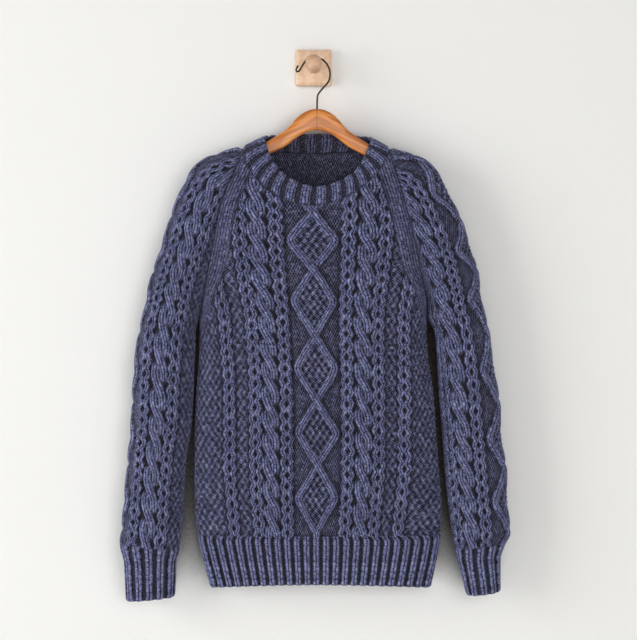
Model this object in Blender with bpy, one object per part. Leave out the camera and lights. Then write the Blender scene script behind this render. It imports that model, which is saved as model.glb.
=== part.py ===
"""Aran sweater hanging on a wooden hanger, which hangs on a wall peg.

Lengths are millimetres until a mesh is made. +X is the photo's right, +Z is up and the wall is the plane Y = 0,
with everything in front of it at negative Y. The origin is the centre of the peg plate's back face.

Each knitted piece is one wall. Its outer points carry the cables, chains, diamonds and ribs, its inside is plain.
A piece is laid out as wales (columns, at a distance across the knitting) and courses (rows, at a distance up it).
"""

import math

import bmesh
import bpy
import numpy as np

METRES = 0.001
SEAM_GAP = 0.5
INNER_SETBACK = 1.6
SEAM_SHRINK = 0.5
WALL = 3.0
CABLE_ROW = 9.25
ARM_ROW = 10.5
MIDDLE_Y = -50.0

YARN = (0.085, 0.105, 0.235, 1.0)
HANGER_WOOD = (0.62, 0.30, 0.11, 1.0)
PEG_WOOD = (0.74, 0.52, 0.32, 1.0)
DARK_METAL = (0.05, 0.04, 0.035, 1.0)

# Body
BODY_SIDE = 210.0
HEM_HEIGHT = -836.0
RIB_TOP = -752.0
ARMPIT_HEIGHT = -406.2
RIBS_PER_HALF = 13
BODY_ROUNDNESS = 2.8
SILHOUETTE_RELIEF = 2.0

BODY_NAMES = ("height", "left", "right", "front", "back")
BODY_SECTIONS = np.array([
    (-836.0, -164.4, 186.0, 29.0, 26.0),
    (-782.0, -178.0, 197.2, 34.0, 30.0),
    (-752.0, -185.2, 202.0, 36.0, 31.0),
    (-721.0, -190.0, 205.2, 37.0, 32.0),
    (-627.0, -191.6, 198.8, 38.0, 33.0),
    (-525.0, -188.4, 191.6, 38.0, 33.0),
    (-454.0, -183.6, 182.0, 38.0, 32.0),
    (-406.2, -183.6, 181.2, 38.0, 32.0),
])

# Half depths of the front and back at the centre line, the centre line's place, and how far the knitting spreads
CENTRE_NAMES = ("height", "centre", "front", "back", "spread")
CENTRE_SECTIONS = np.array([
    (-836.0, 4.0, 29.0, 26.0, 0.86),
    (-752.0, 4.0, 36.0, 31.0, 0.92),
    (-627.0, 5.5, 38.0, 33.0, 1.0),
    (-525.0, 5.0, 38.0, 33.0, 1.0),
    (-406.2, 1.0, 38.0, 32.0, 1.03),
    (-339.0, -1.0, 39.0, 32.0, 1.12),
    (-270.0, -2.0, 39.0, 32.0, 1.2),
    (-227.0, -2.5, 35.0, 31.0, 1.22),
    (-180.0, -1.0, 27.0, 29.0, 1.22),
    (-128.0, 3.0, 20.0, 25.0, 1.22),
])

RAGLAN_NAMES = ("height", "left", "right", "depth")
FRONT_RAGLAN = np.array([
    (-406.2, -183.6, 181.2, 0.0),
    (-380.6, -177.2, 180.4, 15.0),
    (-339.0, -170.0, 171.6, 25.0),
    (-289.4, -159.6, 161.2, 30.0),
    (-236.6, -150.0, 148.4, 31.0),
    (-201.4, -138.8, 138.8, 29.0),
    (-172.6, -125.2, 130.0, 24.0),
    (-142.2, -112.4, 120.4, 16.0),
])
BACK_RAGLAN = np.array([
    (-406.2, -183.6, 181.2, 0.0),
    (-380.6, -177.2, 180.4, 12.0),
    (-339.0, -170.0, 171.6, 21.0),
    (-289.4, -160.0, 161.2, 26.0),
    (-236.6, -150.5, 148.4, 27.0),
    (-201.4, -140.5, 139.0, 26.0),
    (-168.0, -126.5, 129.0, 22.0),
    (-132.0, -108.5, 114.0, 15.0),
])

FRONT_NECK_HEIGHT = -227.0
BACK_NECK_HEIGHT = -140.0
NECK_ROUNDNESS = 1.85
NECK_CURVE_END = 1.3
NECK_SAMPLES = 24

# Soft vertical troughs where the knitting folds back
FOLD_NAMES = ("across", "width", "depth", "low", "high")
FRONT_FOLDS = np.array([
    (-39.5, 6.0, 3.0, -740.0, -250.0),
    (39.5, 6.0, 3.0, -740.0, -250.0),
    (-126.0, 24.0, 5.5, -735.0, -290.0),
    (119.0, 18.0, 5.0, -735.0, -300.0),
    (-170.0, 10.0, -2.5, -700.0, -430.0),
    (146.0, 12.0, -2.5, -710.0, -400.0),
])
BACK_FOLDS = np.array([
    (-39.5, 6.0, 2.5, -740.0, -220.0),
    (39.5, 6.0, 2.5, -740.0, -220.0),
    (-112.0, 22.0, 4.0, -730.0, -330.0),
    (124.0, 20.0, 4.5, -730.0, -280.0),
])

# Sleeves: the closed part from cuff to armpit, then the open part from armpit to neck
ARM_NAMES = ("course", "inner_x", "inner_z", "outer_x", "outer_z", "depth")
LEFT_ARM = np.array([
    (0.0, -225.2, -851.0, -298.0, -858.2, 23.0),
    (0.07, -223.6, -820.6, -299.6, -825.4, 24.0),
    (0.14, -222.8, -793.4, -301.2, -795.0, 26.0),
    (0.19, -216.4, -774.2, -307.6, -766.2, 30.0),
    (0.26, -210.8, -739.0, -304.4, -735.8, 32.0),
    (0.38, -208.4, -684.6, -299.6, -679.8, 32.0),
    (0.5, -205.2, -633.4, -294.8, -627.0, 32.0),
    (0.62, -197.2, -582.2, -290.0, -574.2, 33.0),
    (0.76, -193.2, -518.2, -286.8, -510.2, 34.0),
    (0.9, -190.8, -454.2, -280.4, -443.0, 34.0),
    (0.95, -189.4, -429.0, -274.6, -415.0, 34.0),
    (1.0, -183.6, -406.2, -266.8, -385.4, 34.0),
])
RIGHT_ARM = np.array([
    (0.0, 247.6, -847.8, 296.4, -841.4, 30.0),
    (0.07, 240.4, -819.0, 296.1, -814.2, 30.0),
    (0.14, 233.2, -793.4, 296.4, -788.6, 30.0),
    (0.19, 227.6, -772.6, 304.4, -764.6, 31.0),
    (0.24, 222.8, -750.2, 310.8, -743.8, 31.0),
    (0.38, 214.0, -686.2, 307.6, -678.2, 32.0),
    (0.5, 209.2, -635.0, 302.8, -627.0, 32.0),
    (0.62, 206.0, -585.4, 297.2, -575.8, 33.0),
    (0.76, 200.4, -518.2, 290.8, -505.4, 34.0),
    (0.9, 196.8, -451.0, 278.0, -435.0, 34.0),
    (0.95, 192.4, -427.0, 273.5, -409.0, 34.0),
    (1.0, 181.2, -406.2, 267.6, -377.4, 34.0),
])
SHOULDER_NAMES = ("share", "left_x", "left_z", "right_x", "right_z", "front", "back")
SHOULDER_LINE = np.array([
    (0.0, -266.8, -385.4, 267.6, -377.4, 34.0, 30.0),
    (0.15, -260.4, -348.6, 262.0, -345.4, 34.0, 30.0),
    (0.3, -249.2, -315.0, 254.8, -311.8, 34.0, 30.0),
    (0.4, -240.4, -287.8, 248.4, -291.0, 34.0, 30.0),
    (0.5, -232.4, -260.6, 239.6, -267.0, 34.0, 30.0),
    (0.6, -222.0, -230.2, 227.6, -235.0, 33.0, 30.0),
    (0.7, -206.8, -193.4, 214.8, -206.2, 31.0, 29.0),
    (0.77, -194.0, -171.0, 202.8, -182.2, 29.0, 27.0),
    (0.84, -174.0, -153.4, 184.4, -161.4, 26.5, 24.0),
    (0.9, -154.8, -144.6, 162.0, -147.8, 23.5, 21.0),
    (0.95, -134.0, -139.0, 141.2, -141.9, 20.0, 18.0),
    (1.0, -114.2, -133.4, 121.2, -134.2, 16.2, 15.2),
])
ARM_ROUNDNESS = 2.3
NECK_TURN = 0.9
ARM_HALF_WIDTH = 135.0
CUFF_TOP = 0.19
ARM_LENGTH = 456.0
YOKE_LENGTH = 310.0
SHOULDER_START = 625.0
RIBS_PER_CUFF_HALF = 6
LEFT_PATTERN_TURN = 12.0
RIGHT_PATTERN_TURN = 11.0

# Stitch patterns, each at its distance from the middle of its piece
DIAMOND_REACH = 32.0
DIAMOND_BAND = 5.0
GROUND_EDGE = 37.5
INNER_CHAIN = 48.5
ROPE = 73.5
OUTER_CHAIN = 97.0
SIDE_CHAIN = 139.0
CHAIN_HALF = 10.5
ROPE_HALF = 14.0
ROPE_REPEAT = 37.0
CHAIN_REPEAT = 18.5
MOSS_PITCH = 32.0
ROPE_HEIGHT = 8.0
CHAIN_HEIGHT = 5.5
BAND_HEIGHT = 5.5
MOSS_HEIGHT = 2.6
RIB_HEIGHT = 4.0
RAGLAN_BAND = 15.0
DIAMOND_CROSSINGS = np.array([-745.0, -638.0, -537.0, -433.0, -329.0, -238.0, -150.0])
ARM_DIAMOND = 104.0
ARM_ROPE_REPEAT = 42.0

# Neckband
NECKBAND_RIBS = 24
NECKBAND_RELIEF = 3.0
NECKBAND_BULGE = 2.5

# Hanger, hook and peg
HANGER_HALF_THICK = 6.0
HANGER_CENTRE_X = 5.2
HANGER_CLEARANCE = 1.1
HANGER_SIDES = 10
HOOK_RADIUS = 1.45
HOOK_HOLE_DEPTH = 22.0
PEG_AXIS_Z = 1.0
PLATE_SIDE = 57.6
PLATE_THICK = 14.0
PLATE_CHAMFER = 4.5

# The hanger's bare middle: distance from the stem, height of the upper edge on each side, and height of the wood
HANGER_NAMES = ("out", "left_top", "right_top", "tall")
HANGER_CROWN = np.array([
    (0.0, -71.4, -71.4, 34.0),
    (9.0, -72.3, -72.3, 34.0),
    (18.0, -75.6, -75.6, 34.0),
    (27.0, -81.0, -81.4, 33.0),
    (35.0, -88.5, -89.0, 31.0),
    (43.0, -98.0, -98.5, 28.0),
    (52.0, -106.5, -107.5, 25.5),
    (64.0, -114.0, -115.5, 24.0),
    (78.0, -122.5, -125.0, 22.0),
    (88.0, -128.0, -130.5, 20.0),
    (98.0, -133.5, -135.0, 19.0),
])

# The hook's wire in front view, from the hole in the hanger over the peg to its curled end
HOOK_POINTS = (
    (5.2, -93.0), (5.2, -75.0), (5.4, -58.0), (6.4, -49.5), (10.5, -43.0), (17.5, -35.0), (23.0, -28.5),
    (25.6, -21.5), (26.1, -13.5), (24.0, -5.0), (20.0, 1.9), (14.6, 7.2), (7.6, 10.3), (0.0, 11.3),
    (-7.0, 9.8), (-12.8, 5.6), (-17.4, -0.8), (-20.6, -6.4), (-23.3, -10.4), (-26.4, -11.6),
    (-28.2, -9.0), (-26.8, -5.0), (-24.8, -1.6),
)


def column(table, names, wanted):
    return table[:, names.index(wanted)]


def smooth(at, knots, values):
    """A curve through the knots that never swings past them."""
    at = np.asarray(at, float)
    gaps = np.diff(knots)
    rises = np.diff(values) / gaps
    slopes = np.concatenate([rises[:1], np.zeros(len(rises) - 1), rises[-1:]])
    one_way = rises[:-1] * rises[1:] > 0
    near, far = (2 * gaps[1:] + gaps[:-1])[one_way], (gaps[1:] + 2 * gaps[:-1])[one_way]
    slopes[1:-1][one_way] = (near + far) / (near / rises[:-1][one_way] + far / rises[1:][one_way])
    i = np.clip(np.searchsorted(knots, at) - 1, 0, len(knots) - 2)
    step = knots[i + 1] - knots[i]
    t = np.clip((at - knots[i]) / step, 0.0, 1.0)
    rise = (2 * t**3 - 3 * t**2 + 1) * values[i] + (3 * t**2 - 2 * t**3) * values[i + 1]
    return rise + step * ((t**3 - 2 * t**2 + t) * slopes[i] + (t**3 - t**2) * slopes[i + 1])


def ease(t):
    t = np.clip(t, 0.0, 1.0)
    return t * t * (3 - 2 * t)


def read(table, names, key, wanted, at):
    return smooth(at, column(table, names, key), column(table, names, wanted))


def power(value, exponent):
    return np.sign(value) * np.abs(value) ** exponent


def at_length(lines, wanted):
    """The point at a wanted length along each line; lines has a row of points for each wanted length."""
    steps = np.linalg.norm(np.diff(lines, axis=1), axis=2)
    run = np.concatenate([np.zeros((len(lines), 1)), np.cumsum(steps, axis=1)], axis=1)
    wanted = np.clip(wanted, 0.0, run[:, -1])
    i = np.clip((run < wanted[:, None]).sum(axis=1) - 1, 0, run.shape[1] - 2)
    rows = np.arange(len(lines))
    share = (wanted - run[rows, i]) / np.maximum(run[rows, i + 1] - run[rows, i], 1e-9)
    return lines[rows, i] + (lines[rows, i + 1] - lines[rows, i]) * share[:, None]


def lengths(lines):
    return np.linalg.norm(np.diff(lines, axis=1), axis=2).sum(axis=1)


class Body:
    """The front or the back: where a wale and a height lie in space."""

    samples = 48

    def __init__(self, facing):
        self.facing = facing
        self.raglan = FRONT_RAGLAN if facing < 0 else BACK_RAGLAN
        self.folds = FRONT_FOLDS if facing < 0 else BACK_FOLDS
        self.depth_name = "front" if facing < 0 else "back"
        self.raglan_top = self.raglan[-1, 0]
        self.neck_height = FRONT_NECK_HEIGHT if facing < 0 else BACK_NECK_HEIGHT
        self.neck_drop = self.raglan_top - self.neck_height

    def edge(self, side, height):
        """Sideways place and depth of the seam at the edge of the piece."""
        name = "left" if side < 0 else "right"
        shy = side * SILHOUETTE_RELIEF * ease((ARMPIT_HEIGHT - height) / 25.0)
        below = read(BODY_SECTIONS, BODY_NAMES, "height", name, height) - shy
        above = read(self.raglan, RAGLAN_NAMES, "height", name, height)
        depth = read(self.raglan, RAGLAN_NAMES, "height", "depth", height)
        yoke = height > ARMPIT_HEIGHT
        return np.where(yoke, above, below), np.where(yoke, depth, 0.0)

    def half_sections(self, side, height):
        """For each height, a line of points from the centre to the seam."""
        height = np.asarray(height, float)
        centre = read(CENTRE_SECTIONS, CENTRE_NAMES, "height", "centre", height)
        middle = read(CENTRE_SECTIONS, CENTRE_NAMES, "height", self.depth_name, height)
        edge_x, edge_depth = self.edge(side, height)
        yoke = ease((height - ARMPIT_HEIGHT) / 90.0)
        across = BODY_ROUNDNESS + 1.2 * yoke
        deep = BODY_ROUNDNESS + (1.05 - BODY_ROUNDNESS) * yoke
        turn = np.linspace(0.0, math.pi / 2, self.samples)[None, :]
        share = np.sin(turn) ** (2 / across[:, None])
        bulge = np.maximum(np.cos(turn), 0.0) ** (2 / deep[:, None])
        x = centre[:, None] + (edge_x - centre)[:, None] * share
        depth = edge_depth[:, None] + (middle - edge_depth)[:, None] * bulge
        y = MIDDLE_Y + self.facing * depth
        z = np.broadcast_to(height[:, None], x.shape)
        return np.stack([x, y, z], axis=2)

    def spread(self, height):
        return read(CENTRE_SECTIONS, CENTRE_NAMES, "height", "spread", height)

    def arc(self, side, wale, height, ribbed):
        """Distance along the section from the centre, for a wale's own distance."""
        height = np.asarray(height, float)
        long = lengths(self.half_sections(side, np.minimum(height, ARMPIT_HEIGHT)))
        if ribbed:
            return wale * long / BODY_SIDE
        chain_edge = SIDE_CHAIN + CHAIN_HALF
        spread = self.spread(height)
        low_spread = self.spread(np.minimum(height, ARMPIT_HEIGHT))
        moss = (long - chain_edge * low_spread) / (BODY_SIDE - chain_edge)
        return np.minimum(wale, chain_edge) * spread + np.maximum(wale - chain_edge, 0.0) * moss

    def fold(self, wale, height):
        depth = np.zeros_like(wale)
        for across, width, deep, low, high in self.folds:
            ends = ease((height - low) / 60.0) * ease((high - height) / 60.0)
            depth += deep * ends * np.exp(-(((wale - across) / width) ** 2))
        return depth

    def place(self, wale, height, ribbed=False):
        """Points of the plain cloth. A wale is positive to the right as its wearer's viewer sees the piece."""
        wale, height = np.broadcast_arrays(np.asarray(wale, float), np.asarray(height, float))
        points = np.zeros(wale.shape + (3,))
        for sign in (-1.0, 1.0):
            chosen = (wale < 0) if sign < 0 else (wale >= 0)
            if not chosen.any():
                continue
            side = -sign * self.facing
            reach = self.arc(side, np.abs(wale[chosen]), height[chosen], ribbed)
            points[chosen] = at_length(self.half_sections(side, height[chosen]), reach)
        if not ribbed:
            points[..., 1] -= self.facing * self.fold(wale, height)
        return points

    def seam_wale(self, side, height):
        """The wale that meets the raglan seam at a height above the armpit."""
        long = lengths(self.half_sections(side, height))
        wales = np.linspace(0.0, BODY_SIDE, 140)
        found = []
        for h, reach in zip(height, long):
            arcs = self.arc(side, wales, np.full(wales.shape, h), False)
            found.append(np.interp(reach, arcs, wales))
        return np.array(found)

    def outline(self, sign):
        """(wale, height) of the upper seam on one half, from the centre of the neck to the armpit."""
        side = -sign * self.facing
        heights = np.linspace(self.raglan_top, ARMPIT_HEIGHT, 26)
        wales = self.seam_wale(side, heights)
        wales[-1] = BODY_SIDE
        turn = np.linspace(0.0, NECK_CURVE_END, NECK_SAMPLES + 1)[:-1]
        across = np.sin(turn) ** (2 / NECK_ROUNDNESS) / math.sin(NECK_CURVE_END) ** (2 / NECK_ROUNDNESS)
        drop, last = np.cos(turn) ** (2 / NECK_ROUNDNESS), math.cos(NECK_CURVE_END) ** (2 / NECK_ROUNDNESS)
        neck_wales = wales[0] * across
        neck_heights = self.raglan_top - self.neck_drop * (drop - last) / (1 - last)
        return (
            np.concatenate([neck_wales, wales]),
            np.concatenate([neck_heights, heights]),
        )


class Arm:
    """A sleeve: where a wale and a course lie. Course 0 is the cuff, 1 the armpit and 2 the neck."""

    samples = 48

    def __init__(self, side):
        self.side = side
        self.arm = LEFT_ARM if side < 0 else RIGHT_ARM
        self.name = "left" if side < 0 else "right"
        self.pattern_turn = LEFT_PATTERN_TURN if side < 0 else RIGHT_PATTERN_TURN

    def outer(self, course):
        """The line over the outside of the arm and the top of the shoulder, with the half depth there."""
        share = np.clip(course - 1.0, 0.0, 1.0)
        low = [read(self.arm, ARM_NAMES, "course", n, course) for n in ("outer_x", "outer_z")]
        high = [
            read(SHOULDER_LINE, SHOULDER_NAMES, "share", f"{self.name}_{n}", share)
            for n in ("x", "z")
        ]
        open_part = course > 1.0
        return np.stack([np.where(open_part, h, w) for h, w in zip(high, low)], axis=-1)

    def inner(self, course, facing):
        """The underarm seam, and above the armpit the raglan seam, as x, z and depth."""
        share = np.clip(course - 1.0, 0.0, 1.0)
        raglan = FRONT_RAGLAN if facing < 0 else BACK_RAGLAN
        height = ARMPIT_HEIGHT + share * (raglan[-1, 0] - ARMPIT_HEIGHT)
        high_x = read(raglan, RAGLAN_NAMES, "height", self.name, height)
        high_depth = read(raglan, RAGLAN_NAMES, "height", "depth", height)
        low_x = read(self.arm, ARM_NAMES, "course", "inner_x", course)
        low_z = read(self.arm, ARM_NAMES, "course", "inner_z", course)
        open_part = course > 1.0
        return (
            np.stack([np.where(open_part, high_x, low_x), np.where(open_part, height, low_z)], axis=-1),
            np.where(open_part, high_depth, 0.0),
        )

    def half_sections(self, course, facing):
        """For each course, a line of points from the outer line to the seam, over the front or the back."""
        course = np.asarray(course, float)
        outer = self.outer(course)
        inner, seam_depth = self.inner(course, facing)
        share = np.clip(course - 1.0, 0.0, 1.0)
        deep_low = read(self.arm, ARM_NAMES, "course", "depth", course)
        depth_name = "front" if facing < 0 else "back"
        deep_high = read(SHOULDER_LINE, SHOULDER_NAMES, "share", depth_name, share)
        deep_low = deep_low - (0.0 if facing < 0 else 4.0) * ease((course - 0.1) / 0.2)
        deep = np.maximum(np.where(course > 1.0, deep_high, deep_low), seam_depth * 1.01)
        inward = self.inner(course, -1.0)[0] - outer
        outer = outer + inward / np.linalg.norm(inward, axis=-1, keepdims=True) * SILHOUETTE_RELIEF
        chord = inner - outer
        end = math.pi - np.arcsin(np.clip(seam_depth / deep, 0.0, 0.995) ** (ARM_ROUNDNESS / 2))
        flatter = ease((share - 0.78) / 0.22)
        end = end + (NECK_TURN - end) * flatter
        deep = np.where(flatter > 0, seam_depth / np.sin(end) ** (2 / ARM_ROUNDNESS), deep)
        turn = np.linspace(0.0, 1.0, self.samples)[None, :] * end[:, None]
        reach = (1 - power(np.cos(turn), 2 / ARM_ROUNDNESS)) / 2
        reach = reach / reach[:, -1:]
        bulge = np.maximum(np.sin(turn), 0.0) ** (2 / ARM_ROUNDNESS)
        x = outer[:, None, 0] + chord[:, None, 0] * reach
        z = outer[:, None, 1] + chord[:, None, 1] * reach
        y = MIDDLE_Y + facing * deep[:, None] * bulge
        return np.stack([x, y, z], axis=2)

    def half_length(self, course, facing):
        return lengths(self.half_sections(course, facing))

    def place(self, wale, course):
        """A wale is its distance from the outer line, positive to the right as a viewer faces the sleeve."""
        wale, course = np.broadcast_arrays(np.asarray(wale, float), np.asarray(course, float))
        points = np.zeros(wale.shape + (3,))
        for sign in (-1.0, 1.0):
            chosen = (wale < 0) if sign < 0 else (wale >= 0)
            if not chosen.any():
                continue
            facing = sign * self.side
            long = self.half_length(np.minimum(course[chosen], 1.0), facing)
            reach = np.abs(wale[chosen]) * long / ARM_HALF_WIDTH
            points[chosen] = at_length(self.half_sections(course[chosen], facing), reach)
        return points

    def outline(self, sign):
        """(wale, course) of the raglan seam on one half, from the neck to the armpit."""
        facing = sign * self.side
        courses = np.linspace(2.0, 1.0, 26)
        scale = self.half_length(np.array([1.0]), facing)[0] / ARM_HALF_WIDTH
        wales = self.half_length(courses, facing) / scale
        wales[-1] = ARM_HALF_WIDTH
        return wales, courses


def strand(offset, half_width, height):
    """The rounded back of a cable strand, by the distance from its middle."""
    return height * np.sqrt(np.maximum(1 - (offset / half_width) ** 2, 0.0))


def rope(offset, up, repeat):
    """Two strands, one crossing over the other from upper left to lower right at each repeat."""
    height = np.zeros_like(offset)
    for phase in (0.0, 1.0):
        turn = np.mod(-up / repeat + phase, 2.0)
        crossing = np.where(turn < 1.0, ease(turn), 1 - ease(turn - 1.0))
        middle = (crossing * 2 - 1) * ROPE_HALF * 0.46
        over = np.where(turn < 1.0, 1.0, -1.6) * np.sin(math.pi * np.mod(turn, 1.0))
        lift = strand(offset - middle, ROPE_HALF * 0.6, ROPE_HEIGHT * 0.8)
        height = np.maximum(height, np.where(lift > 0, lift + over * ROPE_HEIGHT * 0.2, 0.0))
    return height


def chain(offset, up):
    """Two wavy strands that part and meet, leaving a hole in each link."""
    swing = 4.2 + 2.6 * np.cos(2 * math.pi * up / CHAIN_REPEAT)
    left = strand(offset + swing, 4.4, CHAIN_HEIGHT)
    right = strand(offset - swing, 4.4, CHAIN_HEIGHT)
    return np.maximum(left, right)


def diamonds(offset, phase):
    """Two bands that cross at each whole phase, with moss between them."""
    swing = DIAMOND_REACH * np.abs(2 / math.pi * np.arcsin(0.98 * np.sin(math.pi * phase)))
    left = strand(offset + swing, DIAMOND_BAND, BAND_HEIGHT)
    right = strand(offset - swing, DIAMOND_BAND, BAND_HEIGHT)
    inside = MOSS_HEIGHT * 0.4 * ease((swing - np.abs(offset)) / 4.0)
    return np.maximum(np.maximum(left, right), inside)


def ribs(wale, half_width, count, height):
    """Knitted ribs with narrow purled grooves between them."""
    wave = np.cos(2 * math.pi * count * wale / half_width)
    return height * ease((wave + 0.75) / 1.1)


def cable_panels(wale, up, phase, repeat, centres):
    """Diamonds in the middle, then chains and ropes outwards, over moss."""
    offset = np.abs(wale)
    bump = np.cos(2 * math.pi * (up / CHAIN_REPEAT + offset / MOSS_PITCH)) > 0
    height = np.where(offset > centres["moss_from"], np.where(bump, MOSS_HEIGHT, MOSS_HEIGHT * 0.3), 0.0)
    height = np.where(offset < GROUND_EDGE, diamonds(wale, phase), height)
    for middle in centres["chains"]:
        near = np.abs(offset - middle) <= CHAIN_HALF
        height = np.where(near, chain(offset - middle, up), height)
    near = np.abs(offset - ROPE) < ROPE_HALF
    height = np.where(near, rope(wale - np.sign(wale) * ROPE, up, repeat), height)
    return height


BODY_CENTRES = {"chains": (INNER_CHAIN, OUTER_CHAIN, SIDE_CHAIN), "moss_from": OUTER_CHAIN + CHAIN_HALF}
ARM_CENTRES = {"chains": (INNER_CHAIN, OUTER_CHAIN), "moss_from": OUTER_CHAIN + CHAIN_HALF}


def seam_distance(wale, up, outline):
    """Distance on the cloth from each point to the upper seam."""
    across, high = outline
    found = np.full(wale.shape, 1e9)
    for w, h in zip(np.interp(np.linspace(0, 1, 90), np.linspace(0, 1, len(across)), across),
                    np.interp(np.linspace(0, 1, 90), np.linspace(0, 1, len(high)), high)):
        found = np.minimum(found, np.hypot(np.abs(wale) - w, up - h))
    return found


def banded(height, distance):
    """A plain knitted band beside the seam, running down to nothing at the seam itself."""
    band = MOSS_HEIGHT * ease(distance / 4.0)
    return band + (height - band) * ease((distance - RAGLAN_BAND + 3) / 5.0)


def ladder(faces, one, one_keys, two, two_keys):
    """Faces between two lines of points, stepping along whichever line's next key comes first."""
    i = j = 0
    while i < len(one) - 1 or j < len(two) - 1:
        next_one = one_keys[i + 1] if i < len(one) - 1 else math.inf
        next_two = two_keys[j + 1] if j < len(two) - 1 else math.inf
        if abs(next_one - next_two) < 1e-6:
            faces.append((one[i], two[j], two[j + 1], one[i + 1]))
            i, j = i + 1, j + 1
        elif next_one < next_two:
            faces.append((one[i], two[j], one[i + 1]))
            i += 1
        else:
            faces.append((one[i], two[j], two[j + 1]))
            j += 1


class Layer:
    """One side of a knitted wall: lines of points, joined by faces, and the loop round its edge."""

    def __init__(self, place, normal_step):
        self.place = place
        self.step = normal_step
        self.params, self.ribbed, self.faces = [], [], []

    def line(self, wale, ups, ribbed):
        first = len(self.params)
        self.params += [(wale, up) for up in ups]
        self.ribbed += [ribbed] * len(ups)
        return list(range(first, first + len(ups)))

    def weave(self, wales, ups_of, ribbed):
        """Lines for the wales, joined to their neighbours."""
        lines = [(self.line(w, ups_of(w), ribbed), ups_of(w)) for w in wales]
        for (one, one_ups), (two, two_ups) in zip(lines, lines[1:]):
            ladder(self.faces, one, one_ups, two, two_ups)
        return [line for line, _ in lines]

    def base(self):
        """Plain points and outward normals."""
        params, ribbed = np.array(self.params), np.array(self.ribbed)
        points, normals = np.zeros((len(params), 3)), np.zeros((len(params), 3))
        across, along = self.step
        for flag in (False, True):
            chosen = ribbed == flag
            if not chosen.any():
                continue
            wale, up = params[chosen].T
            points[chosen] = self.place(wale, up, flag)
            dw = self.place(wale + across, up, flag) - self.place(wale - across, up, flag)
            du = self.place(wale, up + along, flag) - self.place(wale, up - along, flag)
            cross = np.cross(dw, du)
            normals[chosen] = cross / np.maximum(np.linalg.norm(cross, axis=1, keepdims=True), 1e-9)
        return points, normals


def set_back(points, normals, loop, distance):
    """Moves a loop of edge points into the cloth, square to the edge and further at its sharp corners."""
    ring = points[loop]
    ahead, behind = np.roll(ring, -1, axis=0) - ring, ring - np.roll(ring, 1, axis=0)
    ahead /= np.maximum(np.linalg.norm(ahead, axis=1, keepdims=True), 1e-9)
    behind /= np.maximum(np.linalg.norm(behind, axis=1, keepdims=True), 1e-9)
    tangent = ahead + behind
    straight = np.linalg.norm(tangent, axis=1, keepdims=True) / 2
    inward = np.cross(normals[loop], tangent)
    inward /= np.maximum(np.linalg.norm(inward, axis=1, keepdims=True), 1e-9)
    points[loop] = ring + inward * distance / np.maximum(straight, 0.3)


def run_shares(params, line):
    """How far along an edge each point lies, measured on the flat knitting."""
    run = np.concatenate([[0.0], np.cumsum(np.hypot(*np.diff(params[line], axis=0).T))])
    return run / run[-1]


def split(face, raised):
    """A four-sided face as two triangles, cut along its higher diagonal."""
    if len(face) == 3:
        return [face]
    a, b, c, d = face
    if raised[a] + raised[c] > raised[b] + raised[d]:
        return [(a, b, c), (a, c, d)]
    return [(a, b, d), (b, c, d)]


def knitted_wall(name, place, relief, step, up_scale, make_lines, material):
    """A closed wall: the outer layer with its relief, the plain inner layer, and the rims between them."""
    layers = []
    for fine in (True, False):
        layer = Layer(place, step)
        edges = make_lines(layer, fine)
        points, normals = layer.base()
        loop = [i for edge in edges for i in edge[:-1]]
        set_back(points, normals, loop, SEAM_GAP / 2 if fine else SEAM_GAP / 2 + INNER_SETBACK)
        if fine:
            wale, up = np.array(layer.params).T
            raised = relief(wale, up, np.array(layer.ribbed))
            points = points + normals * raised[:, None]
            layer.faces = [part for face in layer.faces for part in split(face, raised)]
        else:
            points = points - normals * WALL
        flat = np.array(layer.params) * (1.0, up_scale)
        layers.append((points, layer.faces, [(edge, run_shares(flat, edge)) for edge in edges]))
    (outer, outer_faces, outer_edges), (inner, inner_faces, inner_edges) = layers
    shift = len(outer)
    faces = list(outer_faces) + [tuple(i + shift for i in reversed(f)) for f in inner_faces]
    points = np.concatenate([outer, inner])
    for (one, one_keys), (two, two_keys) in zip(outer_edges, inner_edges):
        ladder(faces, one, one_keys, [i + shift for i in two], two_keys)
    return solid(name, points, faces, material)


def solid(name, points, faces, material, smooth_angle=60.0):
    mesh = bpy.data.meshes.new(name)
    bm = bmesh.new()
    verts = [bm.verts.new(p * METRES) for p in np.asarray(points, float)]
    for face in faces:
        bm.faces.new([verts[i] for i in face])
    bmesh.ops.triangulate(bm, faces=bm.faces[:])
    bmesh.ops.recalc_face_normals(bm, faces=bm.faces[:])
    bm.to_mesh(mesh)
    bm.free()
    mesh.shade_smooth()
    mesh.set_sharp_from_angle(angle=math.radians(smooth_angle))
    mesh.materials.append(material)
    obj = bpy.data.objects.new(name, mesh)
    bpy.context.scene.collection.objects.link(obj)
    return obj


# Where the wales run, by distance from the middle of the pattern, and how many cable rows lie between their
# points. The wales of the diamonds have their points where the bands cross them, six to a diamond.
WALE_NAMES = ("from_middle", "rows")
DIAMOND_ROWS = 0
CORNER_OFFSETS = (-8.0, -2.5, 0.0, 5.0)
BODY_WALES = (
    (0.0, DIAMOND_ROWS), (10.7, DIAMOND_ROWS), (21.3, DIAMOND_ROWS), (32.0, DIAMOND_ROWS), (38.0, 4),
    (43.0, 4), (48.5, 1), (54.0, 4), (59.3, 4), (66.5, 1), (73.5, 1), (80.5, 1), (87.2, 4),
    (92.0, 4), (97.0, 1), (102.0, 4), (107.2, 4), (118.0, 2), (128.8, 4),
    (134.0, 4), (139.0, 1), (144.0, 4), (149.5, 4), (165.0, 2), (181.0, 2), (190.0, 4), (197.0, 2), (204.0, 4),
)
BACK_PLAIN = (48.5, 97.0, 118.0, 139.0, 165.0, 181.0, 197.0)
BACK_WALES = tuple((mark, 4 if mark in BACK_PLAIN else rows) for mark, rows in BODY_WALES)
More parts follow.
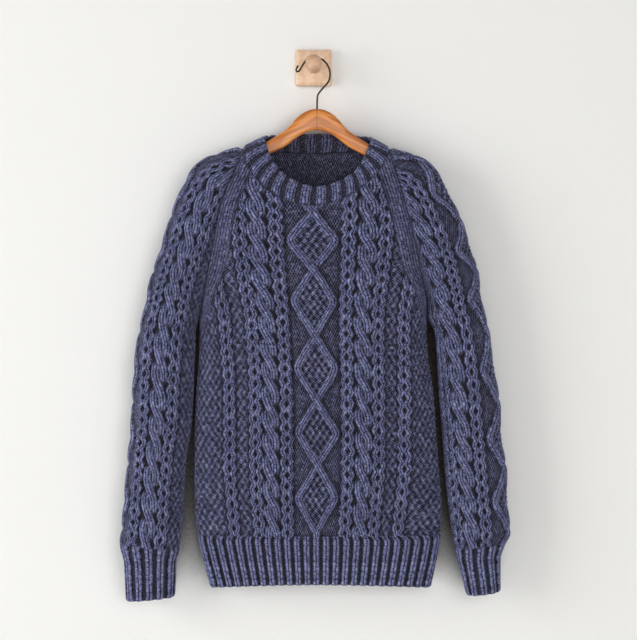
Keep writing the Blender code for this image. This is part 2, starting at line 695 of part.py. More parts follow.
ARM_WALES = (
    (0.0, DIAMOND_ROWS), (10.7, DIAMOND_ROWS), (21.3, DIAMOND_ROWS), (32.0, DIAMOND_ROWS), (38.0, 4),
    (48.5, 4), (59.3, 4), (66.5, 1), (73.5, 1), (80.5, 1), (87.2, 4), (97.0, 4), (107.2, 4), (116.0, 2), (124.0, 4), (130.0, 4),
)
INSIDE_WALES = tuple((mark, 5) for mark in (0.0, 16.0, 31.5, 46.0, 60.0, 74.0, 87.0, 118.0, 149.5, 170.0, 187.0, 202.0))
ARM_INSIDE_WALES = tuple((mark, 3) for mark in (0.0, 7.0, 22.0, 43.0, 65.0, 85.0, 103.0, 118.0, 128.0))


def wale_plan(table, turn, half_width, corners):
    """Each wale and its rows between points: the table's on both sides, the piece's corners and its edges."""
    plan = {sign * mark - turn: rows for mark, rows in table for sign in (-1.0, 1.0)}
    beside = CORNER_OFFSETS if half_width == BODY_SIDE else (0.0,)
    fixed = [c + math.copysign(offset, c) for c in corners for offset in beside] + [-half_width, half_width]
    kept = {w: r for w, r in plan.items() if abs(w) < half_width - 3.0}
    kept = {w: r for w, r in kept.items() if all(abs(w - c) > 2.5 for c in fixed)}
    kept.update({w: 4 for w in fixed})
    return dict(sorted(kept.items()))


def rows_up(low, top, step, crossings, close_from=math.inf):
    """Heights of a wale's points; crossings are the diamonds', where the wale is one of theirs.

    Above close_from the points are closer together.
    """
    if crossings is not None:
        rows = crossings[(crossings > low + 3.0) & (crossings < top - 4.0)]
        return np.concatenate([[low], rows, [top]])
    rows = np.arange(low, top - max(4.0, step * 0.4), step)
    rows = rows[rows < close_from]
    if close_from < top:
        near = min(step, 1.5 * ARM_ROW)
        start = rows[-1] + near
        rows = np.append(rows, np.arange(start, top - near * 0.5, near))
    return np.append(rows, top)


def rib_marks(half_width, count, fine):
    """The valleys between the ribs, with each rib's two shoulders on the fine side."""
    pitch = half_width / count
    places = (-0.22, 0.22, 0.5) if fine else (0.0, 0.5)
    marks = [pitch * (i + t) for i in range(count) for t in places]
    marks = [round(m, 4) for m in marks if abs(m) < half_width - pitch * 0.2]
    return sorted(set(marks) | {-m for m in marks} | {-half_width, half_width})


def upper_seam(tops, corners):
    """The upper edge as one run of points, cut at its two corners: right raglan, neck and left raglan."""
    right, left = corners
    return [tops[right:][::-1], tops[left:right + 1][::-1], tops[:left + 1][::-1]]


def join_rib(layer, upper, wales, lower, rib_wales):
    """Faces between the top of the rib and the bottom of the cabled part, and the piece's two long edges."""
    ladder(layer.faces, [line[0] for line in reversed(upper)], [-w for w in reversed(wales)],
           [line[-1] for line in reversed(lower)], [-w for w in reversed(rib_wales)])
    return lower[-1] + upper[-1], (lower[0] + upper[0])[::-1]


def body_piece(name, facing, material):
    body = Body(facing)
    outlines = {sign: body.outline(sign) for sign in (-1.0, 1.0)}
    corners = [sign * float(across[NECK_SAMPLES]) for sign, (across, _) in outlines.items()]
    low = RIB_TOP + 3.0
    crossings = np.interp(np.arange(-6.0, 42.0) / 6.0, np.arange(len(DIAMOND_CROSSINGS)), DIAMOND_CROSSINGS)
    crossings = np.unique(crossings)

    def top(wale):
        across, high = outlines[-1.0 if wale < 0 else 1.0]
        return float(np.interp(abs(wale), across, high))

    def make_lines(layer, fine):
        table = (BODY_WALES if facing < 0 else BACK_WALES) if fine else INSIDE_WALES
        plan = wale_plan(table, 0.0, BODY_SIDE, corners)
        wales = list(plan)

        def ups(wale):
            rows = plan[wale]
            return rows_up(low, top(wale), rows * CABLE_ROW, crossings if rows == DIAMOND_ROWS else None)

        upper = layer.weave(wales, ups, False)
        rib_wales = rib_marks(BODY_SIDE, RIBS_PER_HALF, fine)
        rib_rows = np.linspace(HEM_HEIGHT, RIB_TOP - 5.0, 3)
        lower = layer.weave(rib_wales, lambda wale: rib_rows, True)
        right, left = join_rib(layer, upper, wales, lower, rib_wales)
        tops = [line[-1] for line in upper]
        upper_edges = upper_seam(tops, (wales.index(max(corners)), wales.index(min(corners))))
        return [[line[0] for line in lower], right, *upper_edges, left]

    def relief(wale, height, ribbed):
        phase = np.interp(height, DIAMOND_CROSSINGS, np.arange(len(DIAMOND_CROSSINGS)))
        raised = cable_panels(wale, height, phase, ROPE_REPEAT, BODY_CENTRES)
        distance = np.where(
            wale < 0,
            seam_distance(wale, height, outlines[-1.0]),
            seam_distance(wale, height, outlines[1.0]),
        )
        tight = ease((-250.0 - height) / 90.0)
        reach = 4.0 + 16.0 * tight + 30.0 * ease((-360.0 - height) / 50.0)
        raised = banded(raised, distance) * ease(distance / reach) - SEAM_SHRINK * tight * ease((24.0 - distance) / 10.0)
        raised = np.where(ribbed, ribs(wale, BODY_SIDE, RIBS_PER_HALF, RIB_HEIGHT), raised)
        return raised * ease((BODY_SIDE - np.abs(wale)) / 6.0)

    knitted_wall(name, body.place, relief, (0.6, 0.6), 1.0, make_lines, material)
    return body, outlines


def course_length(course):
    """Distance up the knitting at a course."""
    return np.minimum(course, 1.0) * ARM_LENGTH + np.maximum(course - 1.0, 0.0) * YOKE_LENGTH


def course_at(length):
    return np.minimum(length / ARM_LENGTH, 1.0) + np.maximum(length - ARM_LENGTH, 0.0) / YOKE_LENGTH


def sleeve_piece(name, side, material):
    arm = Arm(side)
    outlines = {sign: arm.outline(sign) for sign in (-1.0, 1.0)}
    corners = [sign * float(across[0]) for sign, (across, _) in outlines.items()]
    low = course_length(CUFF_TOP) + 3.0
    crossings = np.arange(0.0, ARM_LENGTH + YOKE_LENGTH, ARM_DIAMOND / 6.0)

    def top(wale):
        across, high = outlines[-1.0 if wale < 0 else 1.0]
        return float(course_length(np.interp(abs(wale), across, high)))

    def make_lines(layer, fine):
        table = ARM_WALES if fine else ARM_INSIDE_WALES
        plan = wale_plan(table, arm.pattern_turn if fine else 0.0, ARM_HALF_WIDTH, corners)
        wales = list(plan)

        def ups(wale):
            rows = plan[wale]
            found = rows_up(
                low, top(wale), rows * ARM_ROW, crossings if rows == DIAMOND_ROWS else None, SHOULDER_START
            )
            return course_at(found)

        upper = layer.weave(wales, ups, False)
        rib_wales = rib_marks(ARM_HALF_WIDTH, RIBS_PER_CUFF_HALF, fine)
        rib_rows = np.linspace(0.0, CUFF_TOP - 0.01, 3)
        lower = layer.weave(rib_wales, lambda wale: rib_rows, True)
        right, left = join_rib(layer, upper, wales, lower, rib_wales)
        tops = [line[-1] for line in upper]
        upper_edges = upper_seam(tops, (wales.index(max(corners)), wales.index(min(corners))))
        return [[line[0] for line in lower], right, *upper_edges, left]

    def relief(wale, course, ribbed):
        up = course_length(course)
        pattern = wale + arm.pattern_turn
        raised = cable_panels(pattern, up, up / ARM_DIAMOND, ARM_ROPE_REPEAT, ARM_CENTRES)
        scaled = {s: (o[0], course_length(o[1])) for s, o in outlines.items()}
        distance = np.where(
            wale < 0,
            seam_distance(wale, up, scaled[-1.0]),
            seam_distance(wale, up, scaled[1.0]),
        )
        tight = ease((1.6 - course) / 0.35)
        reach = 6.0 + 18.0 * tight + 30.0 * ease((1.2 - course) / 0.2)
        raised = raised * ease(distance / reach) - SEAM_SHRINK * tight * ease((24.0 - distance) / 10.0)
        raised = np.where(ribbed, ribs(wale, ARM_HALF_WIDTH, RIBS_PER_CUFF_HALF, RIB_HEIGHT), raised)
        neck = ease((2.0 - course) * YOKE_LENGTH / 6.0)
        return raised * ease((ARM_HALF_WIDTH - np.abs(wale)) / 8.0) * neck

    def place(wale, course, ribbed):
        return arm.place(wale, course)

    knitted_wall(name, place, relief, (0.6, 0.0015), YOKE_LENGTH, make_lines, material)
    return arm


def neck_seam(front, back, arms, outlines):
    """The neck seam's four parts, front, right shoulder, back and left shoulder, each a line of points."""
    def across_body(body, body_outlines):
        left, right = body_outlines[-1.0], body_outlines[1.0]
        wales = np.concatenate([-left[0][NECK_SAMPLES::-1], right[0][1:NECK_SAMPLES + 1]])
        heights = np.concatenate([left[1][NECK_SAMPLES::-1], right[1][1:NECK_SAMPLES + 1]])
        return body.place(wales, heights)

    def over_shoulder(arm):
        front_half = arm.half_sections(np.array([2.0]), -1.0)[0]
        back_half = arm.half_sections(np.array([2.0]), 1.0)[0]
        return np.concatenate([front_half[::-1], back_half[1:]])

    return [
        across_body(front, outlines["front"]),
        over_shoulder(arms[1.0]),
        across_body(back, outlines["back"]),
        over_shoulder(arms[-1.0])[::-1],
    ]


# The neck's open edge. Parts 0 to 1 run along the front from the photo's left, 1 to 2 over the right shoulder,
# 2 to 3 along the back and 3 to 4 over the left shoulder.
NECK_NAMES = ("part", "x", "y", "z")
NECK_EDGE = np.array([
    (0.0, -76.0, -59.5, -125.5),
    (0.05, -74.0, -62.5, -133.0),
    (0.12, -69.0, -65.5, -146.0),
    (0.28, -49.0, -72.0, -175.0),
    (0.5, 4.0, -77.0, -197.5),
    (0.72, 59.0, -72.0, -177.0),
    (0.88, 80.0, -65.5, -149.0),
    (0.95, 85.5, -62.5, -136.0),
    (1.0, 88.0, -59.5, -128.5),
    (1.5, 91.0, -50.0, -122.5),
    (2.0, 87.0, -40.0, -117.0),
    (2.25, 60.0, -30.0, -111.5),
    (2.5, 5.0, -25.0, -108.5),
    (2.75, -48.0, -30.0, -110.5),
    (3.0, -74.0, -40.0, -115.0),
    (3.5, -78.0, -50.0, -119.5),
    (4.0, -76.0, -59.5, -125.5),
])


def neckband_piece(seam, material):
    """The ribbed band, from the neck seam up to the neck's edge."""
    points, parts = [], []
    for number, line in enumerate(seam):
        run = np.concatenate([[0.0], np.cumsum(np.linalg.norm(np.diff(line, axis=0), axis=1))])
        points.append(line[:-1])
        parts.append(number + run[:-1] / run[-1])
    points = np.concatenate(points + [seam[0][:1]])
    parts = np.concatenate(parts + [[4.0]])
    run = np.concatenate([[0.0], np.cumsum(np.linalg.norm(np.diff(points, axis=0), axis=1))])
    around = run[-1]
    centre = np.array([column(NECK_EDGE, NECK_NAMES, "x").mean(), MIDDLE_Y, 0.0])

    def place(wale, up, ribbed=False):
        wale = np.clip(wale, 0.0, around)
        low = np.stack([np.interp(wale, run, points[:, k]) for k in range(3)], axis=-1)
        part = np.interp(wale, run, parts)
        high = [smooth(part, NECK_EDGE[:, 0], column(NECK_EDGE, NECK_NAMES, key)) for key in "xyz"]
        high = np.stack(high, axis=-1)
        outward = (low + high) / 2 - centre
        outward[..., 2] = 0.0
        outward /= np.maximum(np.linalg.norm(outward, axis=-1, keepdims=True), 1e-9)
        up = up[..., None]
        return low + (high - low) * up + outward * NECKBAND_BULGE * np.sin(math.pi * np.clip(up, 0, 1))

    def make_lines(layer, fine):
        pitch = around / NECKBAND_RIBS
        places = (0.0, 0.25, 0.75) if fine else (0.0, 0.5)
        wales = [pitch * (i + t) for i in range(NECKBAND_RIBS) for t in places]
        turns = [float(np.interp(part, parts, run)) for part in (1.0, 2.0, 3.0)]
        wales = [w for w in wales if all(abs(w - t) > 4.5 for t in turns)]
        wales = sorted(wales + (turns if fine else []) + [around])
        rows = np.linspace(0.0, 1.0, 4 if fine else 3)
        lines = layer.weave(wales, lambda wale: rows, False)
        return [[line[0] for line in lines], lines[-1], [line[-1] for line in lines][::-1], lines[0][::-1]]

    def relief(wale, up, ribbed):
        wave = np.cos(2 * math.pi * NECKBAND_RIBS * wale / around + math.pi)
        raised = NECKBAND_RELIEF * ease((wave + 0.6) / 1.2)
        ends = ease(np.minimum(wale, around - wale) / 3.0)
        return raised * ends * ease(up / 0.25)

    return knitted_wall("neckband", place, relief, (0.8, 0.01), 35.0, make_lines, material)


def lofted(name, rings, material):
    """A solid through closed rings of points, with its ends filled."""
    count = len(rings[0])
    points = np.concatenate(rings)
    faces = []
    for r in range(len(rings) - 1):
        for i in range(count):
            j = (i + 1) % count
            faces.append((r * count + i, r * count + j, (r + 1) * count + j, (r + 1) * count + i))
    faces.append(tuple(range(count)))
    faces.append(tuple((len(rings) - 1) * count + i for i in range(count)))
    return solid(name, points, faces, material)


def shoulder_inside(arm):
    """The inside of the sleeve along the top of the shoulder, where the hanger carries it."""
    line = arm.half_sections(np.linspace(1.76, 2.0, 8), -1.0)[:, 0]
    tangent = np.gradient(line, axis=0)
    tangent /= np.linalg.norm(tangent, axis=1, keepdims=True)
    inward = np.stack([tangent[:, 2], np.zeros(len(line)), -tangent[:, 0]], axis=1)
    inward *= np.sign(-inward[:, 2:3])
    clearance = np.linspace(HANGER_CLEARANCE * 3, HANGER_CLEARANCE, len(line))
    return line + inward * (WALL + clearance)[:, None]


def hanger(arms, material):
    """A curved wooden hanger, its arms under the shoulders."""
    crown = {-1.0: HANGER_CROWN[:, (0, 1, 3)], 1.0: HANGER_CROWN[:, (0, 2, 3)]}
    halves = {}
    for side in (-1.0, 1.0):
        near = [(HANGER_CENTRE_X + side * out, top, tall) for out, top, tall in crown[side]]
        line = shoulder_inside(arms[side])[::-1]
        tall = np.linspace(19.0, 12.0, len(line))
        far = [(point[0], point[2], t) for point, t in zip(line, tall)]
        halves[side] = near + far
    line = halves[-1.0][:0:-1] + halves[1.0]
    rings = []
    turn = np.linspace(0, 2 * math.pi, HANGER_SIDES, endpoint=False) + math.pi / HANGER_SIDES
    lift = power(np.sin(turn), 0.7)
    lift /= lift.max()
    for x, top, tall in line:
        y = MIDDLE_Y + HANGER_HALF_THICK * power(np.cos(turn), 0.55)
        rings.append(np.stack([np.full(HANGER_SIDES, x), y, top - tall / 2 + tall / 2 * lift], axis=1))
    wood = lofted("hanger", rings, material)
    hole = cylinder("hook_hole", HOOK_RADIUS + SEAM_GAP, HOOK_HOLE_DEPTH + 20.0, 16)
    hole.location = (HANGER_CENTRE_X * METRES, MIDDLE_Y * METRES,
                     (HANGER_CROWN[0][1] - HOOK_HOLE_DEPTH / 2 + 10.0) * METRES)
    hole.rotation_euler = (0.0, 0.0, 0.1)
    cut = wood.modifiers.new("stem hole", "BOOLEAN")
    cut.operation = "DIFFERENCE"
    cut.solver = "EXACT"
    cut.object = hole
    return wood


def cylinder(name, radius, length, sides):
    """A cutter that is left out of the model."""
    mesh = bpy.data.meshes.new(name)
    bm = bmesh.new()
    bmesh.ops.create_cone(bm, cap_ends=True, segments=sides, radius1=radius * METRES,
                          radius2=radius * METRES, depth=length * METRES)
    bm.to_mesh(mesh)
    bm.free()
    obj = bpy.data.objects.new(name, mesh)
    obj.display_type = "WIRE"
    obj.hide_render = True
    bpy.context.scene.collection.objects.link(obj)
    return obj


def hook(material):
    """Round wire, bent in the plane of the hanger."""
    points = np.array(HOOK_POINTS, float)
    knots = np.arange(len(points), dtype=float)
    at = np.linspace(0, len(points) - 1, int(len(points) * 1.4))
    route = np.stack([smooth(at, knots, points[:, k]) for k in range(2)], axis=1)
    tangent = np.gradient(route, axis=0)
    tangent /= np.linalg.norm(tangent, axis=1, keepdims=True)
    turn = np.linspace(0, 2 * math.pi, 8, endpoint=False)
    rings = []
    for (x, z), (tx, tz) in zip(route, tangent):
        side = HOOK_RADIUS * np.cos(turn)
        rings.append(np.stack([x + tz * side, MIDDLE_Y + HOOK_RADIUS * np.sin(turn), z - tx * side], axis=1))
    return lofted("hook", rings, material)


# Distance out from the wall and radius of the turned peg
PEG_PROFILE = (
    (14.3, 0.0), (14.3, 11.0), (17.0, 10.4), (25.0, 9.2), (40.0, 8.5), (53.5, 8.5), (55.5, 9.3),
    (58.0, 11.4), (61.0, 13.0), (64.0, 13.3), (67.0, 12.4), (69.8, 10.0), (71.6, 6.8), (72.6, 3.2), (72.9, 0.0),
)


def peg(material):
    mesh = bpy.data.meshes.new("peg")
    bm = bmesh.new()
    verts = [bm.verts.new((r * METRES, -out * METRES, PEG_AXIS_Z * METRES)) for out, r in PEG_PROFILE]
    edges = [bm.edges.new(pair) for pair in zip(verts, verts[1:])]
    bmesh.ops.spin(bm, geom=verts + edges, cent=(0, 0, PEG_AXIS_Z * METRES), axis=(0, 1, 0),
                   angle=2 * math.pi, steps=18, use_merge=True)
    bmesh.ops.remove_doubles(bm, verts=bm.verts[:], dist=0.00001)
    bmesh.ops.recalc_face_normals(bm, faces=bm.faces[:])
    bm.to_mesh(mesh)
    bm.free()
    mesh.shade_smooth()
    mesh.materials.append(material)
    obj = bpy.data.objects.new("peg", mesh)
    bpy.context.scene.collection.objects.link(obj)
    return obj


def wall_plate(material):
    """A square block with its front edges chamfered."""
    half, slope = PLATE_SIDE / 2, PLATE_CHAMFER
    def square(reach, y):
        return np.array([(-reach, y, -reach), (reach, y, -reach), (reach, y, reach), (-reach, y, reach)])
    rings = [square(half, 0.0), square(half, -PLATE_THICK + 3.5), square(half - slope, -PLATE_THICK)]
    return lofted("wall_plate", rings, material)


def finish(name, colour, roughness, metallic=0.0):
    material = bpy.data.materials.new(name)
    material.use_nodes = True
    shader = material.node_tree.nodes["Principled BSDF"]
    shader.inputs["Base Color"].default_value = colour
    shader.inputs["Roughness"].default_value = roughness
    shader.inputs["Metallic"].default_value = metallic
    material.diffuse_color = colour
    return material


def main():
    for obj in list(bpy.data.objects):
        bpy.data.objects.remove(obj, do_unlink=True)
    yarn = finish("blue wool", YARN, 0.9)
    hanger_wood = finish("hanger wood", HANGER_WOOD, 0.4)
    peg_wood = finish("peg wood", PEG_WOOD, 0.55)
    metal = finish("dark wire", DARK_METAL, 0.4, 0.9)
    front, front_outlines = body_piece("front", -1.0, yarn)
    back, back_outlines = body_piece("back", 1.0, yarn)
    arms = {-1.0: sleeve_piece("right_sleeve", -1.0, yarn), 1.0: sleeve_piece("left_sleeve", 1.0, yarn)}
    seam = neck_seam(front, back, arms, {"front": front_outlines, "back": back_outlines})
    neckband_piece(seam, yarn)
    hanger(arms, hanger_wood)
    hook(metal)
    peg(peg_wood)
    wall_plate(peg_wood)


main()
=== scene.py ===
import math

import bmesh
import bpy
import numpy as np
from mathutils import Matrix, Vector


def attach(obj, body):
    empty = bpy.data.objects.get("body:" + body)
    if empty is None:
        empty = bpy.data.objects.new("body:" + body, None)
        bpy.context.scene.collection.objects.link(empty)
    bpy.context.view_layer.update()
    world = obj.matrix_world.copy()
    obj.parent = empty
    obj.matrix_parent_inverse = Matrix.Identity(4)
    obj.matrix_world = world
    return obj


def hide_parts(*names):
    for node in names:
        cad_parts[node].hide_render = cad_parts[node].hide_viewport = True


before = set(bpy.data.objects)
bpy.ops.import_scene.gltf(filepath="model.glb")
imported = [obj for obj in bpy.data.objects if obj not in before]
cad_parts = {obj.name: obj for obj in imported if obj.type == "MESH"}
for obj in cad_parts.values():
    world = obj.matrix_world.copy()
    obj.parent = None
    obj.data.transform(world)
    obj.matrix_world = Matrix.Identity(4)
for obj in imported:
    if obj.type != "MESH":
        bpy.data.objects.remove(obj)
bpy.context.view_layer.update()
print("frame loaded with", len(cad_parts), "nodes")


# Curves and small sums. Lengths are millimetres until a mesh is written.

def smooth(at, knots, values):
    at = np.asarray(at, float)
    gaps = np.diff(knots)
    rises = np.diff(values) / gaps
    slopes = np.concatenate([rises[:1], np.zeros(len(rises) - 1), rises[-1:]])
    oneWay = rises[:-1] * rises[1:] > 0
    near, far = (2 * gaps[1:] + gaps[:-1])[oneWay], (gaps[1:] + 2 * gaps[:-1])[oneWay]
    slopes[1:-1][oneWay] = (near + far) / (near / rises[:-1][oneWay] + far / rises[1:][oneWay])
    i = np.clip(np.searchsorted(knots, at) - 1, 0, len(knots) - 2)
    step = knots[i + 1] - knots[i]
    t = np.clip((at - knots[i]) / step, 0.0, 1.0)
    rise = (2 * t**3 - 3 * t**2 + 1) * values[i] + (3 * t**2 - 2 * t**3) * values[i + 1]
    return rise + step * ((t**3 - 2 * t**2 + t) * slopes[i] + (t**3 - t**2) * slopes[i + 1])


def ease(t):
    t = np.clip(t, 0.0, 1.0)
    return t * t * (3 - 2 * t)


def power(value, exponent):
    return np.sign(value) * np.abs(value) ** exponent


def unit(vectors):
    return vectors / np.maximum(np.linalg.norm(vectors, axis=-1, keepdims=True), 1e-9)


def lengths(lines):
    return np.linalg.norm(np.diff(lines, axis=1), axis=2).sum(axis=1)


def atLength(lines, wanted):
    steps = np.linalg.norm(np.diff(lines, axis=1), axis=2)
    run = np.concatenate([np.zeros((len(lines), 1)), np.cumsum(steps, axis=1)], axis=1)
    wanted = np.clip(wanted, 0.0, run[:, -1])
    i = np.clip((run < wanted[:, None]).sum(axis=1) - 1, 0, run.shape[1] - 2)
    rows = np.arange(len(lines))
    share = (wanted - run[rows, i]) / np.maximum(run[rows, i + 1] - run[rows, i], 1e-9)
    return lines[rows, i] + (lines[rows, i + 1] - lines[rows, i]) * share[:, None]


def placeHalves(wale, onHalf):
    points = np.zeros(wale.shape + (3,))
    for sign in (-1.0, 1.0):
        where = np.argwhere((wale < 0) == (sign < 0))
        for part in np.array_split(where, len(where) // 12000 + 1):  # in parts, to spare memory
            if len(part):
                chosen = tuple(part.T)
                points[chosen] = onHalf(sign, chosen)
    return points


def softNoise(x, y, seed):
    lattice = np.random.default_rng(seed).uniform(-1.0, 1.0, (64, 64))
    i, j = np.floor(x).astype(int), np.floor(y).astype(int)
    a, b = ease(x - i), ease(y - j)
    low = lattice[i % 64, j % 64] * (1 - a) + lattice[(i + 1) % 64, j % 64] * a
    high = lattice[i % 64, (j + 1) % 64] * (1 - a) + lattice[(i + 1) % 64, (j + 1) % 64] * a
    return low * (1 - b) + high * b


class Table:
    def __init__(self, names, rows):
        self.rows = np.array(rows, float)
        self.columns = dict(zip(names.split(), self.rows.T))
        self.key = self.rows[:, 0]

    def at(self, name, where):
        return smooth(where, self.key, self.columns[name])


def toMesh(name, bm):
    mesh = bpy.data.meshes.new(name)
    bm.to_mesh(mesh)
    bm.free()
    return mesh


def toScene(name, data):
    obj = bpy.data.objects.new(name, data)
    bpy.context.scene.collection.objects.link(obj)
    return obj


# The body's form, the same as the solids'

halfSteps = 48  # points on half a cross-section

body = {
    "middleY": -50.0,
    "side": 210.0,
    "hem": -836.0,
    "hemRise": 7.0,
    "ribTop": -752.0,
    "armpit": -406.2,
    "ribsPerHalf": 13,
    "roundness": 2.8,
    "shy": 2.0,
    "neck": {-1.0: -227.0, 1.0: -140.0},
    "neckRoundness": 1.85,
    "neckCurveEnd": 1.3,
    "crossings": np.array([-745.0, -638.0, -537.0, -433.0, -329.0, -238.0, -150.0]),
    "sections": Table("height left right", [
        (-836.0, -164.4, 186.0),
        (-782.0, -178.0, 197.2),
        (-752.0, -185.2, 202.0),
        (-721.0, -190.0, 205.2),
        (-627.0, -191.6, 198.8),
        (-525.0, -188.4, 191.6),
        (-454.0, -183.6, 182.0),
        (-406.2, -183.6, 181.2),
    ]),
    "centre": Table("height centre front back spread", [
        (-836.0, 4.0, 29.0, 26.0, 0.86),
        (-752.0, 4.0, 36.0, 31.0, 0.92),
        (-627.0, 5.5, 38.0, 33.0, 1.0),
        (-525.0, 5.0, 38.0, 33.0, 1.0),
        (-406.2, 1.0, 38.0, 32.0, 1.03),
        (-339.0, -1.0, 39.0, 32.0, 1.12),
        (-270.0, -2.0, 39.0, 32.0, 1.2),
        (-227.0, -2.5, 35.0, 31.0, 1.22),
        (-180.0, -1.0, 27.0, 29.0, 1.22),
        (-128.0, 3.0, 20.0, 25.0, 1.22),
    ]),
    "raglan": {
        -1.0: Table("height left right depth", [
            (-406.2, -183.6, 181.2, 0.0),
            (-380.6, -177.2, 180.4, 15.0),
            (-339.0, -170.0, 171.6, 25.0),
            (-289.4, -159.6, 161.2, 30.0),
            (-236.6, -150.0, 148.4, 31.0),
            (-201.4, -138.8, 138.8, 29.0),
            (-172.6, -125.2, 130.0, 24.0),
            (-142.2, -112.4, 120.4, 16.0),
        ]),
        1.0: Table("height left right depth", [
            (-406.2, -183.6, 181.2, 0.0),
            (-380.6, -177.2, 180.4, 12.0),
            (-339.0, -170.0, 171.6, 21.0),
            (-289.4, -160.0, 161.2, 26.0),
            (-236.6, -150.5, 148.4, 27.0),
            (-201.4, -140.5, 139.0, 26.0),
            (-168.0, -126.5, 129.0, 22.0),
            (-132.0, -108.5, 114.0, 15.0),
        ]),
    },
    "foldEnds": 60.0,
    # across, width, depth, low, high
    "folds": {
        -1.0: [
            (-39.5, 6.0, 3.0, -740.0, -250.0),
            (39.5, 6.0, 3.0, -740.0, -250.0),
            (-126.0, 24.0, 5.5, -735.0, -290.0),
            (119.0, 18.0, 5.0, -735.0, -300.0),
            (-170.0, 10.0, -2.5, -700.0, -430.0),
            (146.0, 12.0, -2.5, -710.0, -400.0),
        ],
        1.0: [
            (-39.5, 6.0, 2.5, -740.0, -220.0),
            (39.5, 6.0, 2.5, -740.0, -220.0),
            (-112.0, 22.0, 4.0, -730.0, -330.0),
            (124.0, 20.0, 4.5, -730.0, -280.0),
        ],
    },
}


def hemLine(wale):
    return body["hem"] + body["hemRise"] * (1 - (wale / body["side"]) ** 2)


class BodySurface:
    neckSamples = 24

    def __init__(self, facing):
        self.facing = facing
        self.raglan = body["raglan"][facing]
        self.depthName = "front" if facing < 0 else "back"
        self.top = self.raglan.key[-1]
        self.outlines = {sign: self.outline(sign) for sign in (-1.0, 1.0)}

    def edge(self, side, height):
        name = "left" if side < 0 else "right"
        shy = side * body["shy"] * ease((body["armpit"] - height) / 25.0)
        below = body["sections"].at(name, height) - shy
        yoke = height > body["armpit"]
        x = np.where(yoke, self.raglan.at(name, height), below)
        return x, np.where(yoke, self.raglan.at("depth", height), 0.0)

    def halfSections(self, side, height):
        centre, middle = body["centre"].at("centre", height), body["centre"].at(self.depthName, height)
        edgeX, edgeDepth = self.edge(side, height)
        yoke = ease((height - body["armpit"]) / 90.0)
        across = body["roundness"] + 1.2 * yoke
        deep = body["roundness"] + (1.05 - body["roundness"]) * yoke
        turn = np.linspace(0.0, math.pi / 2, halfSteps)[None, :]
        share = np.sin(turn) ** (2 / across[:, None])
        bulge = np.maximum(np.cos(turn), 0.0) ** (2 / deep[:, None])
        x = centre[:, None] + (edgeX - centre)[:, None] * share
        y = body["middleY"] + self.facing * (edgeDepth[:, None] + (middle - edgeDepth)[:, None] * bulge)
        return np.stack([x, y, np.broadcast_to(height[:, None], x.shape)], axis=2)

    def arc(self, side, wale, height, ribbed):
        low = np.minimum(height, body["armpit"])
        long = lengths(self.halfSections(side, low))
        chainEdge = panels["sideChain"] + panels["chainHalf"]
        spread, lowSpread = body["centre"].at("spread", height), body["centre"].at("spread", low)
        moss = (long - chainEdge * lowSpread) / (body["side"] - chainEdge)
        knitted = np.minimum(wale, chainEdge) * spread + np.maximum(wale - chainEdge, 0.0) * moss
        return knitted * (1 - ribbed) + wale * long / body["side"] * ribbed

    def place(self, wale, height):
        wale, height = np.broadcast_arrays(np.asarray(wale, float), np.asarray(height, float))
        ribbed = ease((body["ribTop"] + 6.0 - height) / 14.0)

        def onHalf(sign, chosen):
            side = -sign * self.facing
            reach = self.arc(side, np.abs(wale[chosen]), height[chosen], ribbed[chosen])
            return atLength(self.halfSections(side, height[chosen]), reach)

        points = placeHalves(wale, onHalf)
        points[..., 1] -= self.facing * self.fold(wale, height) * (1 - ribbed)
        return points

    def fold(self, wale, height):
        depth = np.zeros_like(wale)
        for across, width, deep, low, high in body["folds"][self.facing]:
            ends = ease((height - low) / body["foldEnds"]) * ease((high - height) / body["foldEnds"])
            depth += deep * ends * np.exp(-(((wale - across) / width) ** 2))
        return depth

    def outline(self, sign):
        side = -sign * self.facing
        heights = np.linspace(self.top, body["armpit"], 26)
        marks = np.linspace(0.0, body["side"], 140)
        long = lengths(self.halfSections(side, heights))
        wales = []
        for height, reach in zip(heights, long):
            run = self.arc(side, marks, np.full(len(marks), height), np.zeros(len(marks)))
            wales.append(np.interp(reach, run, marks))
        wales[-1] = body["side"]
        turn = np.linspace(0.0, body["neckCurveEnd"], self.neckSamples + 1)[:-1]
        bend = 2 / body["neckRoundness"]
        across = np.sin(turn) ** bend / math.sin(body["neckCurveEnd"]) ** bend
        drop, last = np.cos(turn) ** bend, math.cos(body["neckCurveEnd"]) ** bend
        neckHeights = self.top - (self.top - body["neck"][self.facing]) * (drop - last) / (1 - last)
        return np.concatenate([wales[0] * across, wales]), np.concatenate([neckHeights, heights])


# The sleeves' form

